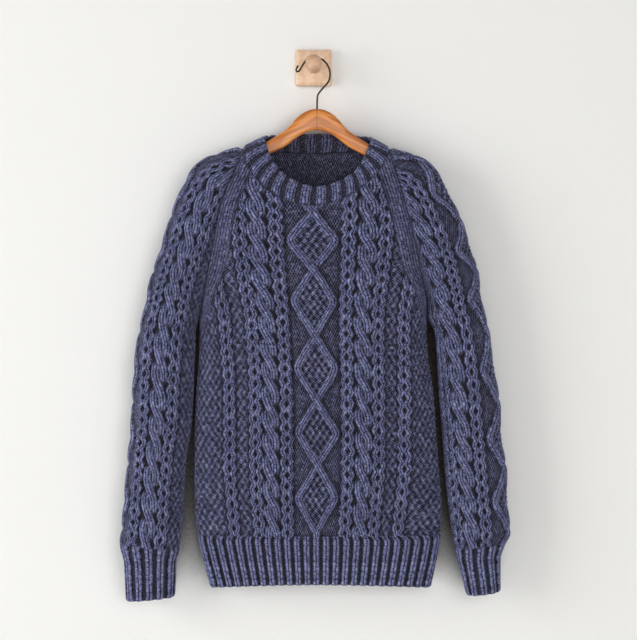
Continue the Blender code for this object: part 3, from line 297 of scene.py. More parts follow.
arm = {
    "halfWidth": 135.0,
    "cuffTop": 0.19,
    "long": 456.0,
    "yokeLong": 310.0,
    "roundness": 2.3,
    "neckTurn": 0.9,
    "backShy": 4.0,
    "ribsPerHalf": 6,
    "patternTurn": {-1.0: 12.0, 1.0: 11.0},
    "diamond": 104.0,
    "ropeRepeat": 42.0,
    "low": {
        -1.0: Table("course innerX innerZ outerX outerZ depth", [
            (0.0, -225.2, -851.0, -298.0, -858.2, 23.0),
            (0.07, -223.6, -820.6, -299.6, -825.4, 24.0),
            (0.14, -222.8, -793.4, -301.2, -795.0, 26.0),
            (0.19, -216.4, -774.2, -307.6, -766.2, 30.0),
            (0.26, -210.8, -739.0, -304.4, -735.8, 32.0),
            (0.38, -208.4, -684.6, -299.6, -679.8, 32.0),
            (0.5, -205.2, -633.4, -294.8, -627.0, 32.0),
            (0.62, -197.2, -582.2, -290.0, -574.2, 33.0),
            (0.76, -193.2, -518.2, -286.8, -510.2, 34.0),
            (0.9, -190.8, -454.2, -280.4, -443.0, 34.0),
            (0.95, -189.4, -429.0, -274.6, -415.0, 34.0),
            (1.0, -183.6, -406.2, -266.8, -385.4, 34.0),
        ]),
        1.0: Table("course innerX innerZ outerX outerZ depth", [
            (0.0, 247.6, -847.8, 296.4, -841.4, 30.0),
            (0.07, 240.4, -819.0, 296.1, -814.2, 30.0),
            (0.14, 233.2, -793.4, 296.4, -788.6, 30.0),
            (0.19, 227.6, -772.6, 304.4, -764.6, 31.0),
            (0.24, 222.8, -750.2, 310.8, -743.8, 31.0),
            (0.38, 214.0, -686.2, 307.6, -678.2, 32.0),
            (0.5, 209.2, -635.0, 302.8, -627.0, 32.0),
            (0.62, 206.0, -585.4, 297.2, -575.8, 33.0),
            (0.76, 200.4, -518.2, 290.8, -505.4, 34.0),
            (0.9, 196.8, -451.0, 278.0, -435.0, 34.0),
            (0.95, 192.4, -427.0, 273.5, -409.0, 34.0),
            (1.0, 181.2, -406.2, 267.6, -377.4, 34.0),
        ]),
    },
    "shoulder": Table("share leftX leftZ rightX rightZ front back", [
        (0.0, -266.8, -385.4, 267.6, -377.4, 34.0, 30.0),
        (0.15, -260.4, -348.6, 262.0, -345.4, 34.0, 30.0),
        (0.3, -249.2, -315.0, 254.8, -311.8, 34.0, 30.0),
        (0.4, -240.4, -287.8, 248.4, -291.0, 34.0, 30.0),
        (0.5, -232.4, -260.6, 239.6, -267.0, 34.0, 30.0),
        (0.6, -222.0, -230.2, 227.6, -235.0, 33.0, 30.0),
        (0.7, -206.8, -193.4, 214.8, -206.2, 31.0, 29.0),
        (0.77, -194.0, -171.0, 202.8, -182.2, 29.0, 27.0),
        (0.84, -174.0, -153.4, 184.4, -161.4, 26.5, 24.0),
        (0.9, -154.8, -144.6, 162.0, -147.8, 23.5, 21.0),
        (0.95, -134.0, -139.0, 141.2, -141.9, 20.0, 18.0),
        (1.0, -114.2, -133.4, 121.2, -134.2, 16.2, 15.2),
    ]),
}


class ArmSurface:
    def __init__(self, side):
        self.side = side
        self.name = "left" if side < 0 else "right"
        self.outlines = {sign: self.outline(sign) for sign in (-1.0, 1.0)}

    def outer(self, course):
        share, low = np.clip(course - 1.0, 0.0, 1.0), arm["low"][self.side]
        pairs = [(arm["shoulder"].at(self.name + n, share), low.at("outer" + n, course)) for n in "XZ"]
        return np.stack([np.where(course > 1.0, high, lower) for high, lower in pairs], axis=-1)

    def inner(self, course, facing):
        share, low, raglan = np.clip(course - 1.0, 0.0, 1.0), arm["low"][self.side], body["raglan"][facing]
        height = body["armpit"] + share * (raglan.key[-1] - body["armpit"])
        x = np.where(course > 1.0, raglan.at(self.name, height), low.at("innerX", course))
        z = np.where(course > 1.0, height, low.at("innerZ", course))
        return np.stack([x, z], axis=-1), np.where(course > 1.0, raglan.at("depth", height), 0.0)

    def halfSections(self, course, facing):
        outer = self.outer(course)
        inner, seamDepth = self.inner(course, facing)
        share = np.clip(course - 1.0, 0.0, 1.0)
        backShy = 0.0 if facing < 0 else arm["backShy"]
        low = arm["low"][self.side].at("depth", course) - backShy * ease((course - 0.1) / 0.2)
        high = arm["shoulder"].at("front" if facing < 0 else "back", share)
        deep = np.maximum(np.where(course > 1.0, high, low), seamDepth * 1.01)
        outer = outer + unit(self.inner(course, -1.0)[0] - outer) * body["shy"]
        chord = inner - outer
        end = math.pi - np.arcsin(np.clip(seamDepth / deep, 0.0, 0.995) ** (arm["roundness"] / 2))
        flatter = ease((share - 0.78) / 0.22)
        end = end + (arm["neckTurn"] - end) * flatter
        deep = np.where(flatter > 0, seamDepth / np.sin(end) ** (2 / arm["roundness"]), deep)
        turn = np.linspace(0.0, 1.0, halfSteps)[None, :] * end[:, None]
        reach = (1 - power(np.cos(turn), 2 / arm["roundness"])) / 2
        reach = reach / reach[:, -1:]
        bulge = np.maximum(np.sin(turn), 0.0) ** (2 / arm["roundness"])
        x = outer[:, None, 0] + chord[:, None, 0] * reach
        z = outer[:, None, 1] + chord[:, None, 1] * reach
        return np.stack([x, body["middleY"] + facing * deep[:, None] * bulge, z], axis=2)

    def halfLength(self, course, facing):
        return lengths(self.halfSections(course, facing))

    def place(self, wale, course):
        wale, course = np.broadcast_arrays(np.asarray(wale, float), np.asarray(course, float))
        marks = np.linspace(0.0, 1.0, 200)
        longs = {sign: self.halfLength(marks, sign * self.side) for sign in (-1.0, 1.0)}

        def onHalf(sign, chosen):
            long = np.interp(course[chosen], marks, longs[sign])
            reach = np.abs(wale[chosen]) * long / arm["halfWidth"]
            return atLength(self.halfSections(course[chosen], sign * self.side), reach)

        return placeHalves(wale, onHalf)

    def outline(self, sign):
        facing = sign * self.side
        courses = np.linspace(2.0, 1.0, 26)
        scale = self.halfLength(np.array([1.0]), facing)[0] / arm["halfWidth"]
        wales = self.halfLength(courses, facing) / scale
        wales[-1] = arm["halfWidth"]
        return wales, courses


# Stitch patterns. A layer is a kind of knitting, its height, and its own column and row counts.

panels = {
    "groundEdge": 37.5,
    "innerChain": 48.5,
    "rope": 73.5,
    "outerChain": 97.0,
    "sideChain": 139.0,
    "chainHalf": 10.5,
    "chainReach": 12.0,
    "chainStagger": 0.11,
    "ropeReach": 15.0,
    "ropeRepeat": 37.0,
    "chainRepeat": 18.5,
    "raglanBand": 23.0,
    "ground": -0.4,
    "moss": 2.2,
}
stitch = {"wide": 3.8, "tall": 4.0, "mossWide": 10.4, "mossTall": 16.4}
kinds = ("knit", "purl", "moss")
hidden = -50.0  # the height of a layer where it isn't knitted


def strand(offset, half, height):
    return height * np.sqrt(np.maximum(1 - (offset / half) ** 2, 0.0))


def strandLayer(x, up, path, half, height, lift, inside, columns):
    middle = path(up)
    slope = path(up + 0.5) - path(up - 0.5)
    slant = np.sqrt(1 + slope**2)
    offset = x - middle
    rise = strand(offset / slant, half, height)
    rise = np.where((rise > 0) & inside, rise + lift, hidden)
    column = offset / slant * columns / half / 2 + columns / 2
    return "knit", rise, column, (up + offset * slope) / stitch["tall"]


def mossLayer(x, up, height, inside):
    lumps = np.cos(2 * math.pi * x / stitch["mossWide"]) * np.cos(2 * math.pi * up / stitch["mossTall"])
    rise = height * (ease(lumps * 0.55 + 0.5) - 0.1)
    return "moss", np.where(inside, rise, hidden), x / stitch["mossWide"] * 2, up / stitch["mossTall"] * 4


rope = {"half": 6.9, "swing": 7.3, "height": 6.6, "overShare": 1.5, "steep": 1.3, "over": 1.8, "under": -5.5}


def ropeLayers(x, up, repeat, inside):
    share, found = rope["overShare"], []
    for phase in (0.0, 1.0):
        turn = np.mod(-up / repeat + phase, 2.0)

        def path(height, phase=phase):
            t = np.mod(-height / repeat + phase, 2.0)
            across = ease((t / share - 0.5) * rope["steep"] + 0.5)
            return rope["swing"] * (2 * np.where(t < share, across, 1 - ease((t - share) / (2 - share))) - 1)

        above = rope["over"] * np.sin(math.pi * turn / share)
        below = rope["under"] * np.sin(math.pi * (turn - share) / (2 - share))
        lift = np.where(turn < share, above, below)
        found.append(strandLayer(x, up, path, rope["half"], rope["height"], lift, inside, 3))
    return found


chain = {"apart": 5.2, "swing": 1.7, "half": 4.4, "heights": (5.8, 5.4)}


def chainLayers(x, up, inside):
    def swing(height):
        return chain["apart"] + chain["swing"] * np.cos(2 * math.pi * height / panels["chainRepeat"])

    return [strandLayer(x, up, path, chain["half"], height, 0.0, inside, 2)
            for path, height in zip((lambda h: -swing(h), swing), chain["heights"])]


diamond = {"reach": 32.0, "half": 6.0, "height": 5.4, "over": 1.4, "under": -2.4, "tip": 11.0, "point": 0.985,
           "moss": 3.2, "mossRise": 4.0, "mossEdge": 2.0}


def diamondLayers(x, up, phaseAt, inside):
    def swing(height):
        lean = np.arcsin(diamond["point"] * np.sin(math.pi * phaseAt(height)))
        return diamond["reach"] * np.abs(2 / math.pi * lean)

    phase = phaseAt(up)
    above = phase - np.round(phase) > 0
    near = 1 - ease(swing(up) / diamond["tip"])
    found = []
    for path, over in ((lambda h: -swing(h), above), (swing, ~above)):
        lift = np.where(over, diamond["over"], diamond["under"]) * near
        found.append(strandLayer(x, up, path, diamond["half"], diamond["height"], lift, inside, 3))
    filled = inside & (swing(up) - np.abs(x) > diamond["mossEdge"])
    found.append(mossLayer(x, up + diamond["mossRise"], diamond["moss"], filled))
    return found


def cableLayers(wale, up, phaseAt, ropeRepeat, chains):
    side = np.where(wale < 0, -1.0, 1.0)
    offset = np.abs(wale)
    found = [("purl", np.full(wale.shape, panels["ground"]), wale / stitch["wide"], up / stitch["tall"])]
    found += diamondLayers(wale, up, phaseAt, offset < panels["groundEdge"])
    clear = np.min([np.abs(offset - middle) for middle in chains], axis=0) > panels["chainReach"]
    beside = offset > panels["outerChain"] + panels["chainHalf"]
    found.append(mossLayer(wale, up, panels["moss"], beside & clear))
    for middle in chains:
        stagger = middle * panels["chainStagger"]
        onChain = np.abs(offset - middle) < panels["chainReach"]
        found += chainLayers(wale - side * middle, up + stagger, onChain)
    onRope = np.abs(offset - panels["rope"]) < panels["ropeReach"]
    found += ropeLayers(wale - side * panels["rope"], up, ropeRepeat, onRope)
    return found


rib = {"height": 4.6, "columns": 2, "knitShare": 0.7, "knitFrom": 0.3}


def ribLayers(x, up, pitch, inside):
    near = x - np.round(x / pitch) * pitch
    ridge = ease(np.cos(2 * math.pi * near / pitch) + 0.9)
    wide = pitch * rib["knitShare"] / rib["columns"]
    knitted = ridge > rib["knitFrom"]
    knit = np.where(inside & knitted, rib["height"] * ridge, hidden)
    purl = np.where(inside & ~knitted, rib["height"] * ridge, hidden)
    row = up / stitch["tall"]
    return [("knit", knit, near / wide + rib["columns"] / 2, row), ("purl", purl, x / stitch["wide"], row)]


# Seams: how far a stitch is from the nearest one, and where the top edge of a piece runs

def asIs(height):
    return height


def seamDistance(wale, outlines, up, heightOf, first):
    def fromLine(across, high):
        marks, knots = np.linspace(0, 1, 220), np.linspace(0, 1, len(across))
        found = np.full(wale.shape, 1e9)
        for w, h in zip(np.interp(marks, knots, across), np.interp(marks, knots, high)):
            found = np.minimum(found, np.hypot(np.abs(wale) - w, up - h))
        return found

    left, right = [fromLine(outlines[s][0][first:], heightOf(outlines[s][1][first:])) for s in (-1.0, 1.0)]
    return np.where(wale < 0, left, right)


def topEdge(wale, outlines, gap, heightOf):
    tops = np.zeros_like(wale)
    for sign in (-1.0, 1.0):
        across, high = outlines[sign][0], heightOf(outlines[sign][1])
        slope = np.abs(np.gradient(high) / np.maximum(np.gradient(across), 0.05))
        found = np.interp(np.abs(wale), across, high)
        back = np.interp(np.abs(wale), across, np.minimum(np.sqrt(1 + slope**2), 6.0))
        tops = np.where((wale < 0) == (sign < 0), found - gap * back, tops)
    return tops


# The relief sinks towards the seams, more so at the armpits, and to nothing at a rim
def fader(distance, ribbed, reach, tight, side, rim):
    sink = 0.5 * tight * ease((24.0 - distance) / 10.0)
    return lambda found: (found * ease(distance / np.where(ribbed, 4.0, reach)) - sink) * side - rim


# Knitted pieces: a fine outside with the relief, a plain inside and the rims between them

def gridArrays(columns, rows):
    s, t = np.meshgrid(np.linspace(0, 1, columns + 1), np.linspace(0, 1, rows + 1))
    return s, t


def surfaceNormals(points):
    across, along = np.gradient(points, axis=1), np.gradient(points, axis=0)
    return unit(np.cross(across, along))


def localMean(field, reach):
    for axis in (0, 1, 0, 1):
        width = [(reach + 1, reach) if k == axis else (0, 0) for k in (0, 1)]
        run = np.cumsum(np.pad(field, width, "edge"), axis=axis)
        run = np.swapaxes(run, 0, axis)
        field = np.swapaxes((run[2 * reach + 1:] - run[:-2 * reach - 1]) / (2 * reach + 1), 0, axis)
    return field


def addGrid(bm, points):
    rows, columns = points.shape[0] - 1, points.shape[1] - 1
    made = bmesh.ops.create_grid(bm, x_segments=columns, y_segments=rows, size=1.0)["verts"]
    flat = np.array([v.co[:2] for v in made])
    i = np.round((flat[:, 1] + 1) / 2 * rows).astype(int)
    j = np.round((flat[:, 0] + 1) / 2 * columns).astype(int)
    lattice = np.empty((rows + 1, columns + 1), object)
    for vert, a, b, p in zip(made, i.tolist(), j.tolist(), (points[i, j] * 0.001).tolist()):
        vert.co = p
        lattice[a, b] = vert
    return lattice


def addRims(bm, outer, inner, ratio):
    sides = [
        (outer[0, :], inner[0, :]),
        (outer[:, -1], inner[:, -1]),
        (outer[-1, ::-1], inner[-1, ::-1]),
        (outer[::-1, 0], inner[::-1, 0]),
    ]
    for fine, coarse in sides:
        for k in range(len(coarse) - 1):
            bm.faces.new([*fine[k * ratio:(k + 1) * ratio + 1][::-1], coarse[k], coarse[k + 1]])


cloth = {"wall": 3.0, "gap": 0.25, "rim": 1.6, "ratio": 5, "insideProud": 0.35}


def knittedPiece(name, outerPoints, innerPoints, layers, ratio, proud):
    bm = bmesh.new()
    outer, inner = addGrid(bm, outerPoints), addGrid(bm, innerPoints)
    addRims(bm, outer, inner, ratio)
    bmesh.ops.recalc_face_normals(bm, faces=bm.faces[:])
    bm.verts.index_update()
    order = np.array([v.index for v in outer.ravel()])
    mesh = toMesh(name, bm)
    place = np.full(len(mesh.vertices), -1)
    place[order] = np.arange(len(order))
    corners = np.empty(len(mesh.loops), np.int32)
    mesh.loops.foreach_get("vertex_index", corners)
    starts, totals = np.empty(len(mesh.polygons), np.int32), np.empty(len(mesh.polygons), np.int32)
    mesh.polygons.foreach_get("loop_start", starts)
    mesh.polygons.foreach_get("loop_total", totals)
    at = place[corners]
    heights, us, vs = [np.array([layer[k].ravel() for layer in layers]) for k in (1, 2, 3)]
    isOuter = np.minimum.reduceat(at, starts) >= 0
    uvs = np.zeros((len(at), 2), np.float32)
    quads = starts[isOuter][:, None] + np.arange(4)
    four = at[quads]
    # the layer that stands highest at a face gives its stitch, columns and rows
    top = np.argmax(heights[:, four].mean(axis=2), axis=0)
    highest, spots = np.repeat(top, 4), quads.ravel()
    uvs[spots, 0], uvs[spots, 1] = us[highest, four.ravel()], vs[highest, four.ravel()]
    material = np.full(len(mesh.polygons), kinds.index("purl"), np.int32)
    material[isOuter] = np.array([kinds.index(one[0]) for one in layers])[top]
    spots = np.flatnonzero(np.repeat(~isOuter, totals))
    co = np.empty(len(mesh.vertices) * 3, np.float32)
    mesh.vertices.foreach_get("co", co)
    co = co.reshape(-1, 3)[corners[spots]] * 1000.0
    uvs[spots] = np.stack([(co[:, 0] + co[:, 1]) / stitch["wide"], co[:, 2] / stitch["tall"]], axis=1)
    mesh.uv_layers.new(name="stitches").data.foreach_set("uv", uvs.ravel())
    mesh.polygons.foreach_set("material_index", material)
    # the plain inside gets a low proud value, so the shader paints it partly in shade
    depth = np.full(len(mesh.vertices), cloth["insideProud"], np.float32)
    depth[order] = proud.ravel()
    mesh.attributes.new("proud", "FLOAT", "POINT").data.foreach_set("value", depth)
    mesh.shade_smooth()
    mesh.update()
    return toScene(name, mesh)


def knitWall(name, place, layout, layersAt, shape):
    s, t = gridArrays(shape["columns"], shape["rows"])
    wale, up = layout(s, t, cloth["gap"])
    base = place(wale, up)
    layers, fade = layersAt(wale, up)
    layers = [(k, np.where(h > hidden / 2, fade(h), hidden), u, v) for k, h, u, v in layers]
    height = np.maximum.reduce([layer[1] for layer in layers])
    # how far a stitch stands out of those round it; the shader paints shade into the valleys by it
    proud = np.clip(0.5 + 0.13 * (height - localMean(height, 3)) + 0.03 * (height - 1.0), 0.0, 1.0)
    outer = base + surfaceNormals(base) * height[..., None]
    ratio = cloth["ratio"]
    coarseS, coarseT = gridArrays(shape["columns"] // ratio, shape["rows"] // ratio)
    inWale, inUp = layout(coarseS, coarseT, cloth["gap"] + cloth["rim"])
    inBase = place(inWale, inUp)
    inner = inBase - surfaceNormals(inBase) * cloth["wall"]
    obj = knittedPiece(name, outer, inner, layers, ratio, proud)
    print(name, "made with", len(obj.data.polygons), "faces")
    return obj


bodyShape = {"columns": 240, "rows": 380, "ribRows": 45, "seed": 4}


def bodyPiece(name, facing):
    surface, shape = BodySurface(facing), bodyShape
    low = body["ribTop"] - 5.0
    ribShare = shape["ribRows"] / shape["rows"]

    def layout(s, t, gap):
        wale = (2 * s - 1) * (body["side"] - gap)
        tops = topEdge(wale, surface.outlines, gap, asIs)
        hem = hemLine(wale)
        rib = hem + (low - hem) * t / ribShare
        knitted = low + (tops - low) * (t - ribShare) / (1 - ribShare)
        return wale, np.where(t < ribShare, rib, knitted)

    def layersAt(wale, height):
        seed = shape["seed"] + int(facing)
        moved = wale + 0.9 * softNoise(wale / 31.0 + 9, height / 23.0 + 50, seed)
        up = height + 1.3 * softNoise(wale / 37.0 + 20, height / 29.0 + 70, seed + 7)
        ribbed = height < body["ribTop"] + 1.0

        def phaseAt(h):
            return np.interp(h, body["crossings"], np.arange(len(body["crossings"])))

        chains = (panels["innerChain"], panels["outerChain"], panels["sideChain"])
        layers = cableLayers(moved, up, phaseAt, panels["ropeRepeat"], chains)
        raglan = seamDistance(wale, surface.outlines, height, asIs, surface.neckSamples)
        whole = seamDistance(wale, surface.outlines, height, asIs, 0)
        inBand = raglan < panels["raglanBand"]
        layers = [(k, np.where(ribbed | inBand, hidden, h), u, v) for k, h, u, v in layers]
        column = raglan / stitch["wide"]
        rise = 2.4 * ease((panels["raglanBand"] - raglan) / 4.0) + 0.5 * np.cos(2 * math.pi * column)
        bandKnit = np.where(inBand & ~ribbed, rise, hidden)
        layers.append(("knit", bandKnit, column, height / stitch["tall"] * 1.1))
        layers += ribLayers(wale, height, body["side"] / body["ribsPerHalf"], ribbed)
        tight = ease((-250.0 - height) / 90.0)
        reach = 4.0 + 16.0 * tight + 30.0 * ease((-360.0 - height) / 50.0)
        side = ease((body["side"] - np.abs(wale)) / 6.0)
        rim = 2.6 * (1 - ease((height - hemLine(wale)) / 3.0))
        return layers, fader(whole, ribbed, reach, tight, side, rim)

    return knitWall(name, surface.place, layout, layersAt, shape), surface


armShape = {"columns": 160, "rows": 480, "ribRows": 50, "seed": 31}


def courseLength(course):
    return np.minimum(course, 1.0) * arm["long"] + np.maximum(course - 1.0, 0.0) * arm["yokeLong"]


def sleevePiece(name, side):
    surface, shape = ArmSurface(side), armShape
    cuffShare = shape["ribRows"] / shape["rows"]
    low = arm["cuffTop"] - 0.01

    def layout(s, t, gap):
        wale = (2 * s - 1) * (arm["halfWidth"] - gap)
        tops = topEdge(wale, surface.outlines, gap, courseLength)
        tops = np.minimum(tops / arm["long"], 1.0) + np.maximum(tops - arm["long"], 0.0) / arm["yokeLong"]
        knitted = low + (tops - low) * (t - cuffShare) / (1 - cuffShare)
        return wale, np.where(t < cuffShare, low * t / cuffShare, knitted)

    def layersAt(wale, course):
        up = courseLength(course)
        seed = shape["seed"] + int(side)
        pattern = wale + arm["patternTurn"][side] + 0.9 * softNoise(wale / 29.0 + 9, up / 23.0 + 3, seed)
        moved = up + 1.3 * softNoise(wale / 33.0 + 20, up / 29.0 + 11, seed + 7)
        ribbed = course < arm["cuffTop"]
        chains = (panels["innerChain"], panels["outerChain"])
        layers = cableLayers(pattern, moved, lambda h: h / arm["diamond"], arm["ropeRepeat"], chains)
        whole = seamDistance(wale, surface.outlines, up, courseLength, 0)
        layers = [(k, np.where(ribbed, hidden, h), u, v) for k, h, u, v in layers]
        layers += ribLayers(wale, up, arm["halfWidth"] / arm["ribsPerHalf"], ribbed)
        tight = ease((1.6 - course) / 0.35)
        reach = 6.0 + 18.0 * tight + 30.0 * ease((1.2 - course) / 0.2)
        edge = ease((arm["halfWidth"] - np.abs(wale)) / 8.0) * ease((2.0 - course) * arm["yokeLong"] / 6.0)
        rim = 2.4 * (1 - ease(up / 3.0))
        return layers, fader(whole, ribbed, reach, tight, edge, rim)

    return knitWall(name, surface.place, layout, layersAt, shape), surface


# Neckband

band = {
    "ribs": 24,
    "relief": 3.4,
    "bulge": 2.5,
    "thick": 3.0,
    "rimFrom": 0.93,
    "long": 38.0,
    "wale": 5.2,
    "columns": 480,
    "edge": Table("part x y z", [
        (0.0, -76.0, -59.5, -125.5),
        (0.05, -74.0, -62.5, -133.0),
        (0.12, -69.0, -65.5, -146.0),
        (0.28, -49.0, -72.0, -175.0),
        (0.5, 4.0, -77.0, -197.5),
        (0.72, 59.0, -72.0, -177.0),
        (0.88, 80.0, -65.5, -149.0),
        (0.95, 85.5, -62.5, -136.0),
        (1.0, 88.0, -59.5, -128.5),
        (1.5, 91.0, -50.0, -122.5),
        (2.0, 87.0, -40.0, -117.0),
        (2.25, 60.0, -30.0, -111.5),
        (2.5, 5.0, -25.0, -108.5),
        (2.75, -48.0, -30.0, -110.5),
        (3.0, -74.0, -40.0, -115.0),
        (3.5, -78.0, -50.0, -119.5),
        (4.0, -76.0, -59.5, -125.5),
    ]),
}


def neckSeam(front, back, arms):
    def acrossBody(surface):
        last = surface.neckSamples
        left, right = surface.outlines[-1.0], surface.outlines[1.0]
        wales = np.concatenate([-left[0][last::-1], right[0][1:last + 1]])
        heights = np.concatenate([left[1][last::-1], right[1][1:last + 1]])
        return surface.place(wales, heights)

    def overShoulder(surface):
        halves = [surface.halfSections(np.array([2.0]), facing)[0] for facing in (-1.0, 1.0)]
        return np.concatenate([halves[0][::-1], halves[1][1:]])

    return [acrossBody(front), overShoulder(arms[1.0]), acrossBody(back), overShoulder(arms[-1.0])[::-1]]


def neckbandPiece(seam):
    points, parts = [], []
    for number, line in enumerate(seam):
        run = np.concatenate([[0.0], np.cumsum(np.linalg.norm(np.diff(line, axis=0), axis=1))])
        points.append(line[:-1])
        parts.append(number + run[:-1] / run[-1])
    points = np.concatenate(points + [seam[0][:1]])
    parts = np.concatenate(parts + [[4.0]])
    run = np.concatenate([[0.0], np.cumsum(np.linalg.norm(np.diff(points, axis=0), axis=1))])
    around = run[-1]
    centre = np.array([band["edge"].columns["x"].mean(), body["middleY"], 0.0])
    pitch = around / band["ribs"]
    # up the band, depth into it, share of the rib relief
    rimFrom, thick = band["rimFrom"], band["thick"]
    section = [(u, 0.0, ease(u / 0.25)) for u in np.linspace(0.004, rimFrom, 22)]
    section += [(rimFrom + (1 - rimFrom) * math.sin(a), thick / 2 * (1 - math.cos(a)), (1 + math.cos(a)) / 2)
                for a in np.linspace(0, math.pi, 9)[1:-1]]
    insideFrom = len(section)
    section += [(u, thick, 0.0) for u in np.linspace(rimFrom, 0.03, 12)]
    ups, depths, shares = np.array(section).T

    def ridgeAt(wale):
        return ease((np.cos(2 * math.pi * wale / pitch + math.pi) + 0.8) / 1.1)

    def place(wale, up):
        wale = np.mod(wale, around)
        low = np.stack([np.interp(wale, run, points[:, k]) for k in range(3)], axis=-1)
        part = np.interp(wale, run, parts)
        high = np.stack([band["edge"].at(key, part) for key in "xyz"], axis=-1)
        outward = (low + high) / 2 - centre
        outward[..., 2] = 0.0
        up = up[..., None]
        return low + (high - low) * up + unit(outward) * band["bulge"] * np.sin(math.pi * np.clip(up, 0, 1))

    wale, _ = np.meshgrid(np.linspace(0, around, band["columns"] + 1), ups)
    up = np.broadcast_to(ups[:, None], wale.shape)
    base = place(wale, up)
    dw = place(wale + 1.2, up) - place(wale - 1.2, up)
    du = place(wale, up + 0.02) - place(wale, up - 0.02)
    ridge = ridgeAt(wale)
    height = band["relief"] * ridge * shares[:, None] - depths[:, None]
    shell = base + unit(np.cross(dw, du)) * height[..., None]
    bm = bmesh.new()
    uvLayer = bm.loops.layers.uv.new("stitches")
    proud = bm.verts.layers.float.new("proud")
    lattice = addGrid(bm, shell)
    columns = wale.shape[1] - 1
    for k in range(columns):
        bm.faces.new([lattice[-1, k], lattice[-1, k + 1], lattice[0, k + 1], lattice[0, k]])
    spots = {}
    for (i, j), vert in np.ndenumerate(lattice):
        spots[vert] = (wale[i, j], i)
        # proud is lower in the rib valleys and on the inside, where the shader paints shade
        vert[proud] = float(0.2 + 0.8 * ridge[i, j] * (1 - depths[i] / thick * 0.7))
    for face in bm.faces:
        middle = sum(spots[v][0] for v in face.verts) / len(face.verts)
        home = (np.floor(middle / pitch) + 0.5) * pitch
        face.material_index = kinds.index("knit" if ridgeAt(middle) > rib["knitFrom"] else "purl")
        for loop in face.loops:
            w, i = spots[loop.vert]
            row = ups[i] * band["long"] / stitch["tall"] + (40.0 if i >= insideFrom else 0.0)
            loop[uvLayer].uv = ((w - home) / band["wale"], row)
    bmesh.ops.remove_doubles(bm, verts=[*lattice[:, 0], *lattice[:, -1]], dist=0.00001)
    bmesh.ops.recalc_face_normals(bm, faces=bm.faces[:])
    mesh = toMesh("neckband_knit", bm)
    mesh.shade_smooth()
    print("neckband made with", len(mesh.polygons), "faces,", round(around), "mm around")
    return toScene("neckband_knit", mesh)


# Shader graphs

class Signal:
    def __init__(self, shader, socket):
        self.shader, self.socket = shader, socket

    def sum(self, operation, *others):
        return self.shader.add("ShaderNodeMath", {"operation": operation}, dict(enumerate((self, *others))))

    def __add__(self, other):
        return self.sum("ADD", other)

    def __sub__(self, other):
        return self.sum("SUBTRACT", other)

    def __mul__(self, other):
        return self.sum("MULTIPLY", other)

    def __pow__(self, other):
        return self.sum("POWER", other)

    def __rsub__(self, other):
        return (self * -1.0) + other

    __radd__, __rmul__ = __add__, __mul__

    def fract(self):
        return self.sum("FRACT")

    def floor(self):
        return self.sum("FLOOR")

    def sine(self):
        return self.sum("SINE")

    def size(self):
        return self.sum("ABSOLUTE")


class Shader:
    def __init__(self, name):
        self.material = bpy.data.materials.new(name)
        self.material.use_nodes = True
        self.tree = self.material.node_tree
        self.surface = self.tree.nodes["Principled BSDF"]

    def add(self, kind, settings=None, inputs=None, output=0):
        node = self.tree.nodes.new(kind)
        for key, value in (settings or {}).items():
            setattr(node, key, value)
        self.feed(node, inputs or {})
        return Signal(self, node.outputs[output])

    def feed(self, node, inputs):
        for key, value in inputs.items():
            if isinstance(value, Signal):
                self.tree.links.new(value.socket, node.inputs[key])
            else:
                node.inputs[key].default_value = value

    def split(self, vector):
        return [self.add("ShaderNodeSeparateXYZ", inputs={0: vector}, output=k) for k in range(3)]

    def join(self, x, y, z=0.0):
        return self.add("ShaderNodeCombineXYZ", inputs={0: x, 1: y, 2: z})

    def noise(self, vector, scale, detail=2.0, roughness=0.5):
        inputs = {"Vector": vector, "Scale": scale, "Detail": detail, "Roughness": roughness}
        return self.add("ShaderNodeTexNoise", inputs=inputs)

    def ramp(self, value, low, high):
        settings = {"interpolation_type": "SMOOTHSTEP"}
        return self.add("ShaderNodeMapRange", settings, {0: value, 1: low, 2: high, 3: 0.0, 4: 1.0})

    def blend(self, share, one, two):
        return self.add("ShaderNodeMix", {"data_type": "RGBA"}, {0: share, 6: one, 7: two}, output=2)

    def bump(self, height, distance, strength=1.0):
        inputs = {"Height": height, "Distance": distance, "Strength": strength}
        return self.add("ShaderNodeBump", inputs=inputs)


wool = {
    # deep is the near-black painted shade in the gaps between stitches
    "deep": (0.006, 0.005, 0.007, 1.0),
    "shadow": (0.032, 0.029, 0.043, 1.0),
    "navy": (0.055, 0.061, 0.138, 1.0),
    "blue": (0.180, 0.196, 0.392, 1.0),
    "violet": (0.172, 0.162, 0.300, 1.0),
    "pale": (0.36, 0.395, 0.64, 1.0),
    "roughness": 0.92,
    "bump": 0.0014,
    "fleckScale": 290.0,
    "tintScale": 24.0,
    "jitterScale": 150.0,
}


def wave(value, phase=0.0):
    return (value * (2 * math.pi) + (phase * 2 * math.pi + math.pi / 2)).sine()


# The height of one stitch, 0 to about 1: u counts columns and v counts rows. It feeds the bump and the
# painted shade between stitches
def stitchHeight(u, v, kind):
    if kind == "knit":
        half = (u.fract() - 0.5).size() * 2.0
        leg = ((v - half * 0.8).fract() * math.pi).sine()
        return (leg ** 0.6 * 0.62 + 0.38) * (1.12 - half * half)
    if kind == "purl":
        return wave(u) * wave(v * 0.5) * 0.5 + 0.5
    return wave(u * 0.5) * wave(v * 0.25) * 0.17 + wave(u, 0.25) * wave(v) * 0.34 + 0.52


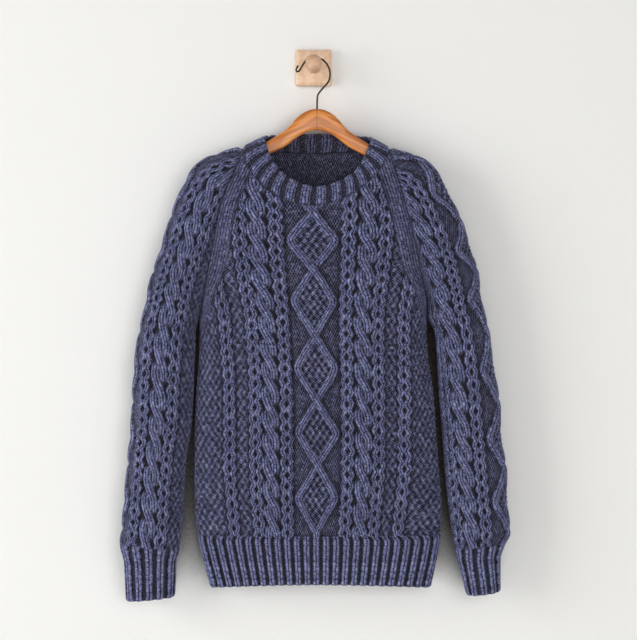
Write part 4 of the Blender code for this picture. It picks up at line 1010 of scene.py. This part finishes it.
def woolMaterial(kind):
    shader = Shader("wool " + kind)
    uv = shader.add("ShaderNodeUVMap", {"uv_map": "stitches"})
    u, v, _ = shader.split(uv)
    space = shader.add("ShaderNodeTexCoord", output=3)
    proud = shader.add("ShaderNodeAttribute", {"attribute_name": "proud"}, output=2)
    jitter = shader.noise(space, wool["jitterScale"], 1.0) - 0.5
    u, v = u + jitter * 0.5, v + jitter * 0.6
    height = stitchHeight(u, v, kind)
    cell = shader.add("ShaderNodeTexWhiteNoise", inputs={0: shader.join(u.floor(), v.floor())}, output=0)
    flecks = shader.noise(space, wool["fleckScale"], 2.0, 0.6)
    fibres = shader.noise(shader.join(u * 1.5, v * 1.2, proud), 1.0, 2.0, 0.7)
    tint = shader.noise(space, wool["tintScale"], 2.0)
    colour = shader.blend(shader.ramp(flecks, 0.36, 0.60), wool["navy"], wool["blue"])
    colour = shader.blend(shader.ramp(tint, 0.40, 0.75) * 0.4, colour, wool["violet"])
    colour = shader.blend(shader.ramp(fibres + cell * 0.2, 0.58, 0.80) * 0.7, colour, wool["pale"])
    # painted shade: valleys and low stitches are darkened towards the shadow colour where proud is low
    colour = shader.blend(shader.ramp(proud, 0.0, 0.85), wool["shadow"], colour)
    # painted shade: the low parts of each stitch are darkened towards the deep colour by the stitch height
    shade = shader.ramp(height + (cell - 0.5) * 0.25, 0.22, 0.80)
    colour = shader.blend(shade, wool["deep"], colour)
    bump = shader.bump(height + fibres * 0.25, wool["bump"])
    shader.feed(shader.surface, {
        "Base Color": colour,
        "Normal": bump,
        "Roughness": wool["roughness"],
        "Specular IOR Level": 0.2,
        "Sheen Weight": 0.2,
        "Sheen Roughness": 0.5,
        "Sheen Tint": (0.5, 0.55, 0.85, 1.0),
    })
    return shader.material


# Grain along Y, or along both arms of a hanger that are joined at jointAt
def woodMaterial(name, pale, dark, roughness, coat, jointAt=None):
    shader = Shader(name)
    space = shader.add("ShaderNodeTexCoord", output=3)
    x, y, z = shader.split(space)
    if jointAt is None:
        grain = shader.join(x * 150.0, y * 10.0, z * 150.0)
    else:
        fromJoint = (x - jointAt / 1000.0).size()
        grain = shader.join(x * 14.0, (fromJoint * 0.45 + z) * 190.0, y * 90.0)
    warp = shader.noise(space, 30.0, 2.0)
    rings = ((shader.noise(grain, 0.5, 2.0) * 6.0 + warp * 2.0) * math.pi).sine() * 0.5 + 0.5
    pores = shader.noise(grain, 4.0, 3.0, 0.6)
    tone = rings * 0.55 + pores * 0.45
    colour = shader.blend(shader.ramp(tone, 0.25, 0.8), dark, pale)
    if jointAt is not None:
        glueLine = (0.10, 0.035, 0.012, 1.0)
        colour = shader.blend(shader.ramp(fromJoint, 0.0002, 0.0006), glueLine, colour)
    shader.feed(shader.surface, {
        "Base Color": colour,
        "Roughness": shader.ramp(pores, 0.2, 0.9) * 0.15 + roughness,
        "Normal": shader.bump(pores, 0.0002, 0.5),
        "Coat Weight": coat,
        "Coat Roughness": 0.22,
    })
    return shader.material


def wireMaterial():
    shader = Shader("dark wire")
    space = shader.add("ShaderNodeTexCoord", output=3)
    wear = shader.noise(space, 260.0, 3.0, 0.6)
    black, worn = (0.02, 0.016, 0.014, 1.0), (0.10, 0.075, 0.055, 1.0)
    shader.feed(shader.surface, {
        "Base Color": shader.blend(shader.ramp(wear, 0.4, 0.75), black, worn),
        "Metallic": 0.85,
        "Roughness": shader.ramp(wear, 0.3, 0.8) * 0.2 + 0.32,
        "Normal": shader.bump(wear, 0.00015, 0.4),
    })
    return shader.material


woolMaterials = [woolMaterial(kind) for kind in kinds]
print("wool ready")


def dress(obj, materials, node):
    for material in materials:
        obj.data.materials.append(material)
    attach(obj, "root")
    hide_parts(node)


frontPiece, frontSurface = bodyPiece("front_knit", -1.0)
backPiece, backSurface = bodyPiece("back_knit", 1.0)
rightSleeve, rightSurface = sleevePiece("right_sleeve_knit", -1.0)
leftSleeve, leftSurface = sleevePiece("left_sleeve_knit", 1.0)
neckband = neckbandPiece(neckSeam(frontSurface, backSurface, {-1.0: rightSurface, 1.0: leftSurface}))
for piece, node in ((frontPiece, "front"), (backPiece, "back"), (rightSleeve, "right_sleeve"),
                    (leftSleeve, "left_sleeve"), (neckband, "neckband")):
    dress(piece, woolMaterials, node)

print("garment dressed")


# Hanger, hook, peg and plate

hanger = {
    "centreX": 5.2,
    "halfThick": 6.0,
    "clearance": 1.1,
    "tipTall": (19.0, 12.0),
    "squareness": (0.7, 0.55),
    "sides": 32,
    "stations": 150,
    "wood": {"pale": (0.70, 0.25, 0.045, 1.0), "dark": (0.46, 0.14, 0.022, 1.0),
             "roughness": 0.34, "coat": 0.3},
    "crown": Table("out leftTop rightTop tall", [
        (0.0, -71.4, -71.4, 34.0),
        (9.0, -72.3, -72.3, 34.0),
        (18.0, -75.6, -75.6, 34.0),
        (27.0, -81.0, -81.4, 33.0),
        (35.0, -88.5, -89.0, 31.0),
        (43.0, -98.0, -98.5, 28.0),
        (52.0, -106.5, -107.5, 25.5),
        (64.0, -114.0, -115.5, 24.0),
        (78.0, -122.5, -125.0, 22.0),
        (88.0, -128.0, -130.5, 20.0),
        (98.0, -133.5, -135.0, 19.0),
    ]),
}


def loft(name, rings, smoothAngle=50.0):
    bm = bmesh.new()
    made = [[bm.verts.new(p * 0.001) for p in ring] for ring in rings]
    for one, two in zip(made, made[1:]):
        for k in range(len(one)):
            after = (k + 1) % len(one)
            bm.faces.new((one[k], one[after], two[after], two[k]))
    bm.faces.new(made[0])
    bm.faces.new(made[-1])
    bmesh.ops.recalc_face_normals(bm, faces=bm.faces[:])
    mesh = toMesh(name, bm)
    mesh.shade_smooth()
    mesh.set_sharp_from_angle(angle=math.radians(smoothAngle))
    return toScene(name, mesh)


def smoothLine(points, count):
    keys = np.arange(len(points), dtype=float)
    at = np.linspace(0, len(keys) - 1, count)
    return np.stack([smooth(at, keys, column) for column in np.array(points).T], axis=1)


def shoulderInside(surface):
    line = surface.halfSections(np.linspace(1.76, 2.0, 8), -1.0)[:, 0]
    tangent = unit(np.gradient(line, axis=0))
    inward = np.stack([tangent[:, 2], np.zeros(len(line)), -tangent[:, 0]], axis=1)
    inward *= np.sign(-inward[:, 2:3])
    clearance = np.linspace(hanger["clearance"] * 3, hanger["clearance"], len(line))
    return line + inward * (cloth["wall"] + clearance)[:, None]


def hangerPiece(surfaces):
    halves = {}
    for side, name in ((-1.0, "leftTop"), (1.0, "rightTop")):
        columns = hanger["crown"].columns
        near = np.stack([hanger["centreX"] + side * columns["out"], columns[name], columns["tall"]], axis=1)
        line = shoulderInside(surfaces[side])[::-1]
        far = np.stack([line[:, 0], line[:, 2], np.linspace(*hanger["tipTall"], len(line))], axis=1)
        halves[side] = np.concatenate([near, far])
    line = smoothLine(np.concatenate([halves[-1.0][:0:-1], halves[1.0]]), hanger["stations"])
    turn = np.linspace(0, 2 * math.pi, hanger["sides"], endpoint=False)
    lift, across = [power(f(turn), sharp) for f, sharp in zip((np.sin, np.cos), hanger["squareness"])]
    rings = []
    for k, (x, top, tall) in enumerate(line):
        end = ease(min(k, len(line) - 1 - k) / 3.0 + 0.35)
        y = body["middleY"] + hanger["halfThick"] * across * end
        rings.append(np.stack([np.full(len(turn), x), y, top - tall / 2 + tall / 2 * lift * end], axis=1))
    return loft("hanger_wood", rings)


hook = {
    "radius": 1.45,
    "tip": (0.92, 0.72, 0.4),
    "sides": 16,
    "stations": 170,
    # x and z of the wire, from the hanger's crown over the peg to its bent end
    "route": [
        (5.2, -88.0), (5.2, -75.0), (5.4, -58.0), (6.4, -49.5), (10.5, -43.0), (17.5, -35.0), (23.0, -28.5),
        (25.6, -21.5), (26.1, -13.5), (24.0, -5.0), (20.0, 1.9), (14.6, 7.2), (7.6, 10.3), (0.0, 11.3),
        (-7.0, 9.8), (-12.8, 5.6), (-17.4, -0.8), (-20.6, -6.4), (-23.3, -10.4), (-26.4, -11.6),
        (-28.2, -9.0), (-26.8, -5.0), (-24.8, -1.6),
    ],
}


def hookPiece():
    route = smoothLine(hook["route"], hook["stations"])
    for _ in range(3):
        route[1:-1] = (route[:-2] + 2 * route[1:-1] + route[2:]) / 4
    tangent = unit(np.gradient(route, axis=0))
    turn = np.linspace(0, 2 * math.pi, hook["sides"], endpoint=False)
    radii = np.full(len(route), hook["radius"])
    radii[-len(hook["tip"]):] *= hook["tip"]
    rings = []
    for (x, z), (tx, tz), radius in zip(route, tangent, radii):
        side = radius * np.cos(turn)
        y = body["middleY"] + radius * np.sin(turn)
        rings.append(np.stack([x + tz * side, y, z - tx * side], axis=1))
    return loft("hook_wire", rings)


peg = {
    "axisZ": 1.0,
    "sides": 56,
    "stations": 70,
    "wood": {"pale": (0.66, 0.42, 0.28, 1.0), "dark": (0.56, 0.34, 0.21, 1.0),
             "roughness": 0.5, "coat": 0.05},
    # distance from the wall, radius
    "profile": [
        (14.05, 11.0), (14.3, 11.0), (17.0, 10.4), (25.0, 9.2), (40.0, 8.5), (53.5, 8.5), (55.5, 9.3),
        (58.0, 11.4), (61.0, 13.0), (64.0, 13.3), (67.0, 12.4), (69.8, 10.0), (71.6, 6.8), (72.6, 3.2),
        (72.9, 0.4),
    ],
}


def pegPiece():
    turn = np.linspace(0, 2 * math.pi, peg["sides"], endpoint=False)
    rings = [np.stack([r * np.cos(turn), np.full(len(turn), -out), peg["axisZ"] + r * np.sin(turn)], axis=1)
             for out, r in smoothLine(peg["profile"], peg["stations"])]
    return loft("peg_wood", rings, 70.0)


plate = {
    "round": 0.7,
    "wood": {"pale": (0.84, 0.60, 0.43, 1.0), "dark": (0.76, 0.51, 0.34, 1.0),
             "roughness": 0.5, "coat": 0.05},
    # half the width, distance from the wall
    "profile": [(28.5, 0.0), (28.8, 0.4), (28.8, 10.2), (28.55, 10.8), (24.7, 13.75), (24.0, 14.0)],
}


def platePiece():
    def square(reach, out):
        r = plate["round"]
        ring = []
        for cx, cz, start in ((1, 1, 0), (-1, 1, 90), (-1, -1, 180), (1, -1, 270)):
            for a in np.radians(np.linspace(start, start + 90, 5)):
                ring.append((cx * (reach - r) + r * math.cos(a), -out, cz * (reach - r) + r * math.sin(a)))
        return np.array(ring)

    return loft("plate_wood", [square(reach, out) for reach, out in plate["profile"]], 25.0)


hangerWood = woodMaterial("hanger wood", **hanger["wood"], jointAt=hanger["centreX"])
pegWood = woodMaterial("peg wood", **peg["wood"])
plateWood = woodMaterial("plate wood", **plate["wood"])
dress(hangerPiece({-1.0: rightSurface, 1.0: leftSurface}), [hangerWood], "hanger")
dress(hookPiece(), [wireMaterial()], "hook")
dress(pegPiece(), [pegWood], "peg")
dress(platePiece(), [plateWood], "wall_plate")
print("hanger, hook, peg and plate made")


# Wall, floor, light and camera, in metres

room = {
    "wallHalf": 4.0,
    "wallY": 0.0006,
    "wallTop": 2.2,
    "floorZ": -1.4,
    "floorHalf": 6.0,
    "floorBack": 4.0,
    "wallColour": (0.86, 0.86, 0.85, 1.0),
    "floorColour": (0.86, 0.86, 0.84, 1.0),
    "skyColour": (1.0, 0.98, 0.955, 1.0),
    "skyStrength": 0.24,
    # how far the occlusion looks, and the near-black brown of the painted shade in the gaps
    "gapReach": 0.12,
    "paintedGapShade": (0.035, 0.025, 0.015, 1.0),
    "lamps": {
        "window": {"place": (-3.5, -2.2, 0.0), "target": (0.0, 0.0, -0.4), "size": (2.2, 2.6),
                   "energy": 86.0, "colour": (1.0, 1.0, 1.0)},
        "fill": {"place": (0.9, -4.2, -0.5), "target": (0.0, 0.0, -0.5), "size": (2.6, 2.6),
                 "energy": 86.0, "colour": (1.0, 0.99, 0.975)},
        "behind": {"place": (0.9, 3.4, 0.3), "target": (0.0, 0.0, -0.4), "size": (2.4, 2.4),
                   "energy": 75.0, "colour": (1.0, 1.0, 1.0)},
    },
    "camera": {"place": (0.0076, -3.05, -0.409), "lens": 105.47},
}


def plane(name, corners, material):
    bm = bmesh.new()
    bm.faces.new([bm.verts.new(c) for c in corners])
    obj = toScene(name, toMesh(name, bm))
    obj.data.materials.append(material)
    return obj


# The wall is painted darker, as shade, in narrow gaps behind the sleeves, and is clear from its back
def paleMaterial(name, colour, isWall):
    shader = Shader(name)
    space = shader.add("ShaderNodeTexCoord", output=3)
    mottle = shader.noise(space, 3.0, 3.0) * 0.015
    shade = shader.blend(mottle, colour, (0.6, 0.6, 0.6, 1.0))
    if isWall:
        openness = shader.add("ShaderNodeAmbientOcclusion", {"samples": 8}, {"Distance": room["gapReach"]}, 1)
        # painted shade: the wall darkens where ambient occlusion finds the sweater close
        shade = shader.blend(shader.ramp(openness, 0.22, 0.58), room["paintedGapShade"], shade)
        back = shader.add("ShaderNodeNewGeometry", output=6)
        clear = shader.add("ShaderNodeBsdfTransparent")
        paint = Signal(shader, shader.surface.outputs[0])
        mixed = shader.add("ShaderNodeMixShader", inputs={0: back, 1: paint, 2: clear})
        shader.feed(shader.tree.nodes["Material Output"], {"Surface": mixed})
    shader.feed(shader.surface, {"Base Color": shade, "Roughness": 0.9, "Specular IOR Level": 0.2})
    return shader.material


half, y, low, top = room["wallHalf"], room["wallY"], room["floorZ"], room["wallTop"]
wallPaint = paleMaterial("wall paint", room["wallColour"], True)
wall = plane("wall", [(-half, y, low), (half, y, low), (half, y, top), (-half, y, top)], wallPaint)
wall.visible_shadow = False
half, back = room["floorHalf"], room["floorBack"]
floorPaint = paleMaterial("floor paint", room["floorColour"], False)
plane("floor", [(-half, -half, low), (half, -half, low), (half, back, low), (-half, back, low)], floorPaint)


def areaLight(name, place, target, size, energy, colour):
    data = bpy.data.lights.new(name, "AREA")
    data.shape = "RECTANGLE"
    data.size, data.size_y = size
    data.energy = energy
    data.color = colour
    light = toScene(name, data)
    light.location = place
    direction = Vector(target) - Vector(place)
    light.rotation_euler = direction.to_track_quat("-Z", "Y").to_euler()


for name, lamp in room["lamps"].items():
    areaLight(name, **lamp)

world = bpy.data.worlds.new("soft room")
world.use_nodes = True
sky = world.node_tree.nodes["Background"].inputs
sky["Color"].default_value, sky["Strength"].default_value = room["skyColour"], room["skyStrength"]
bpy.context.scene.world = world
bpy.context.scene.view_settings.view_transform = "Standard"

view = bpy.data.cameras.new("camera")
view.lens = room["camera"]["lens"]
view.sensor_width = 36.0
camera = toScene("camera", view)
camera.location = room["camera"]["place"]
camera.rotation_euler = (math.pi / 2, 0.0, 0.0)
bpy.context.scene.camera = camera
print("room, lamps and camera set")
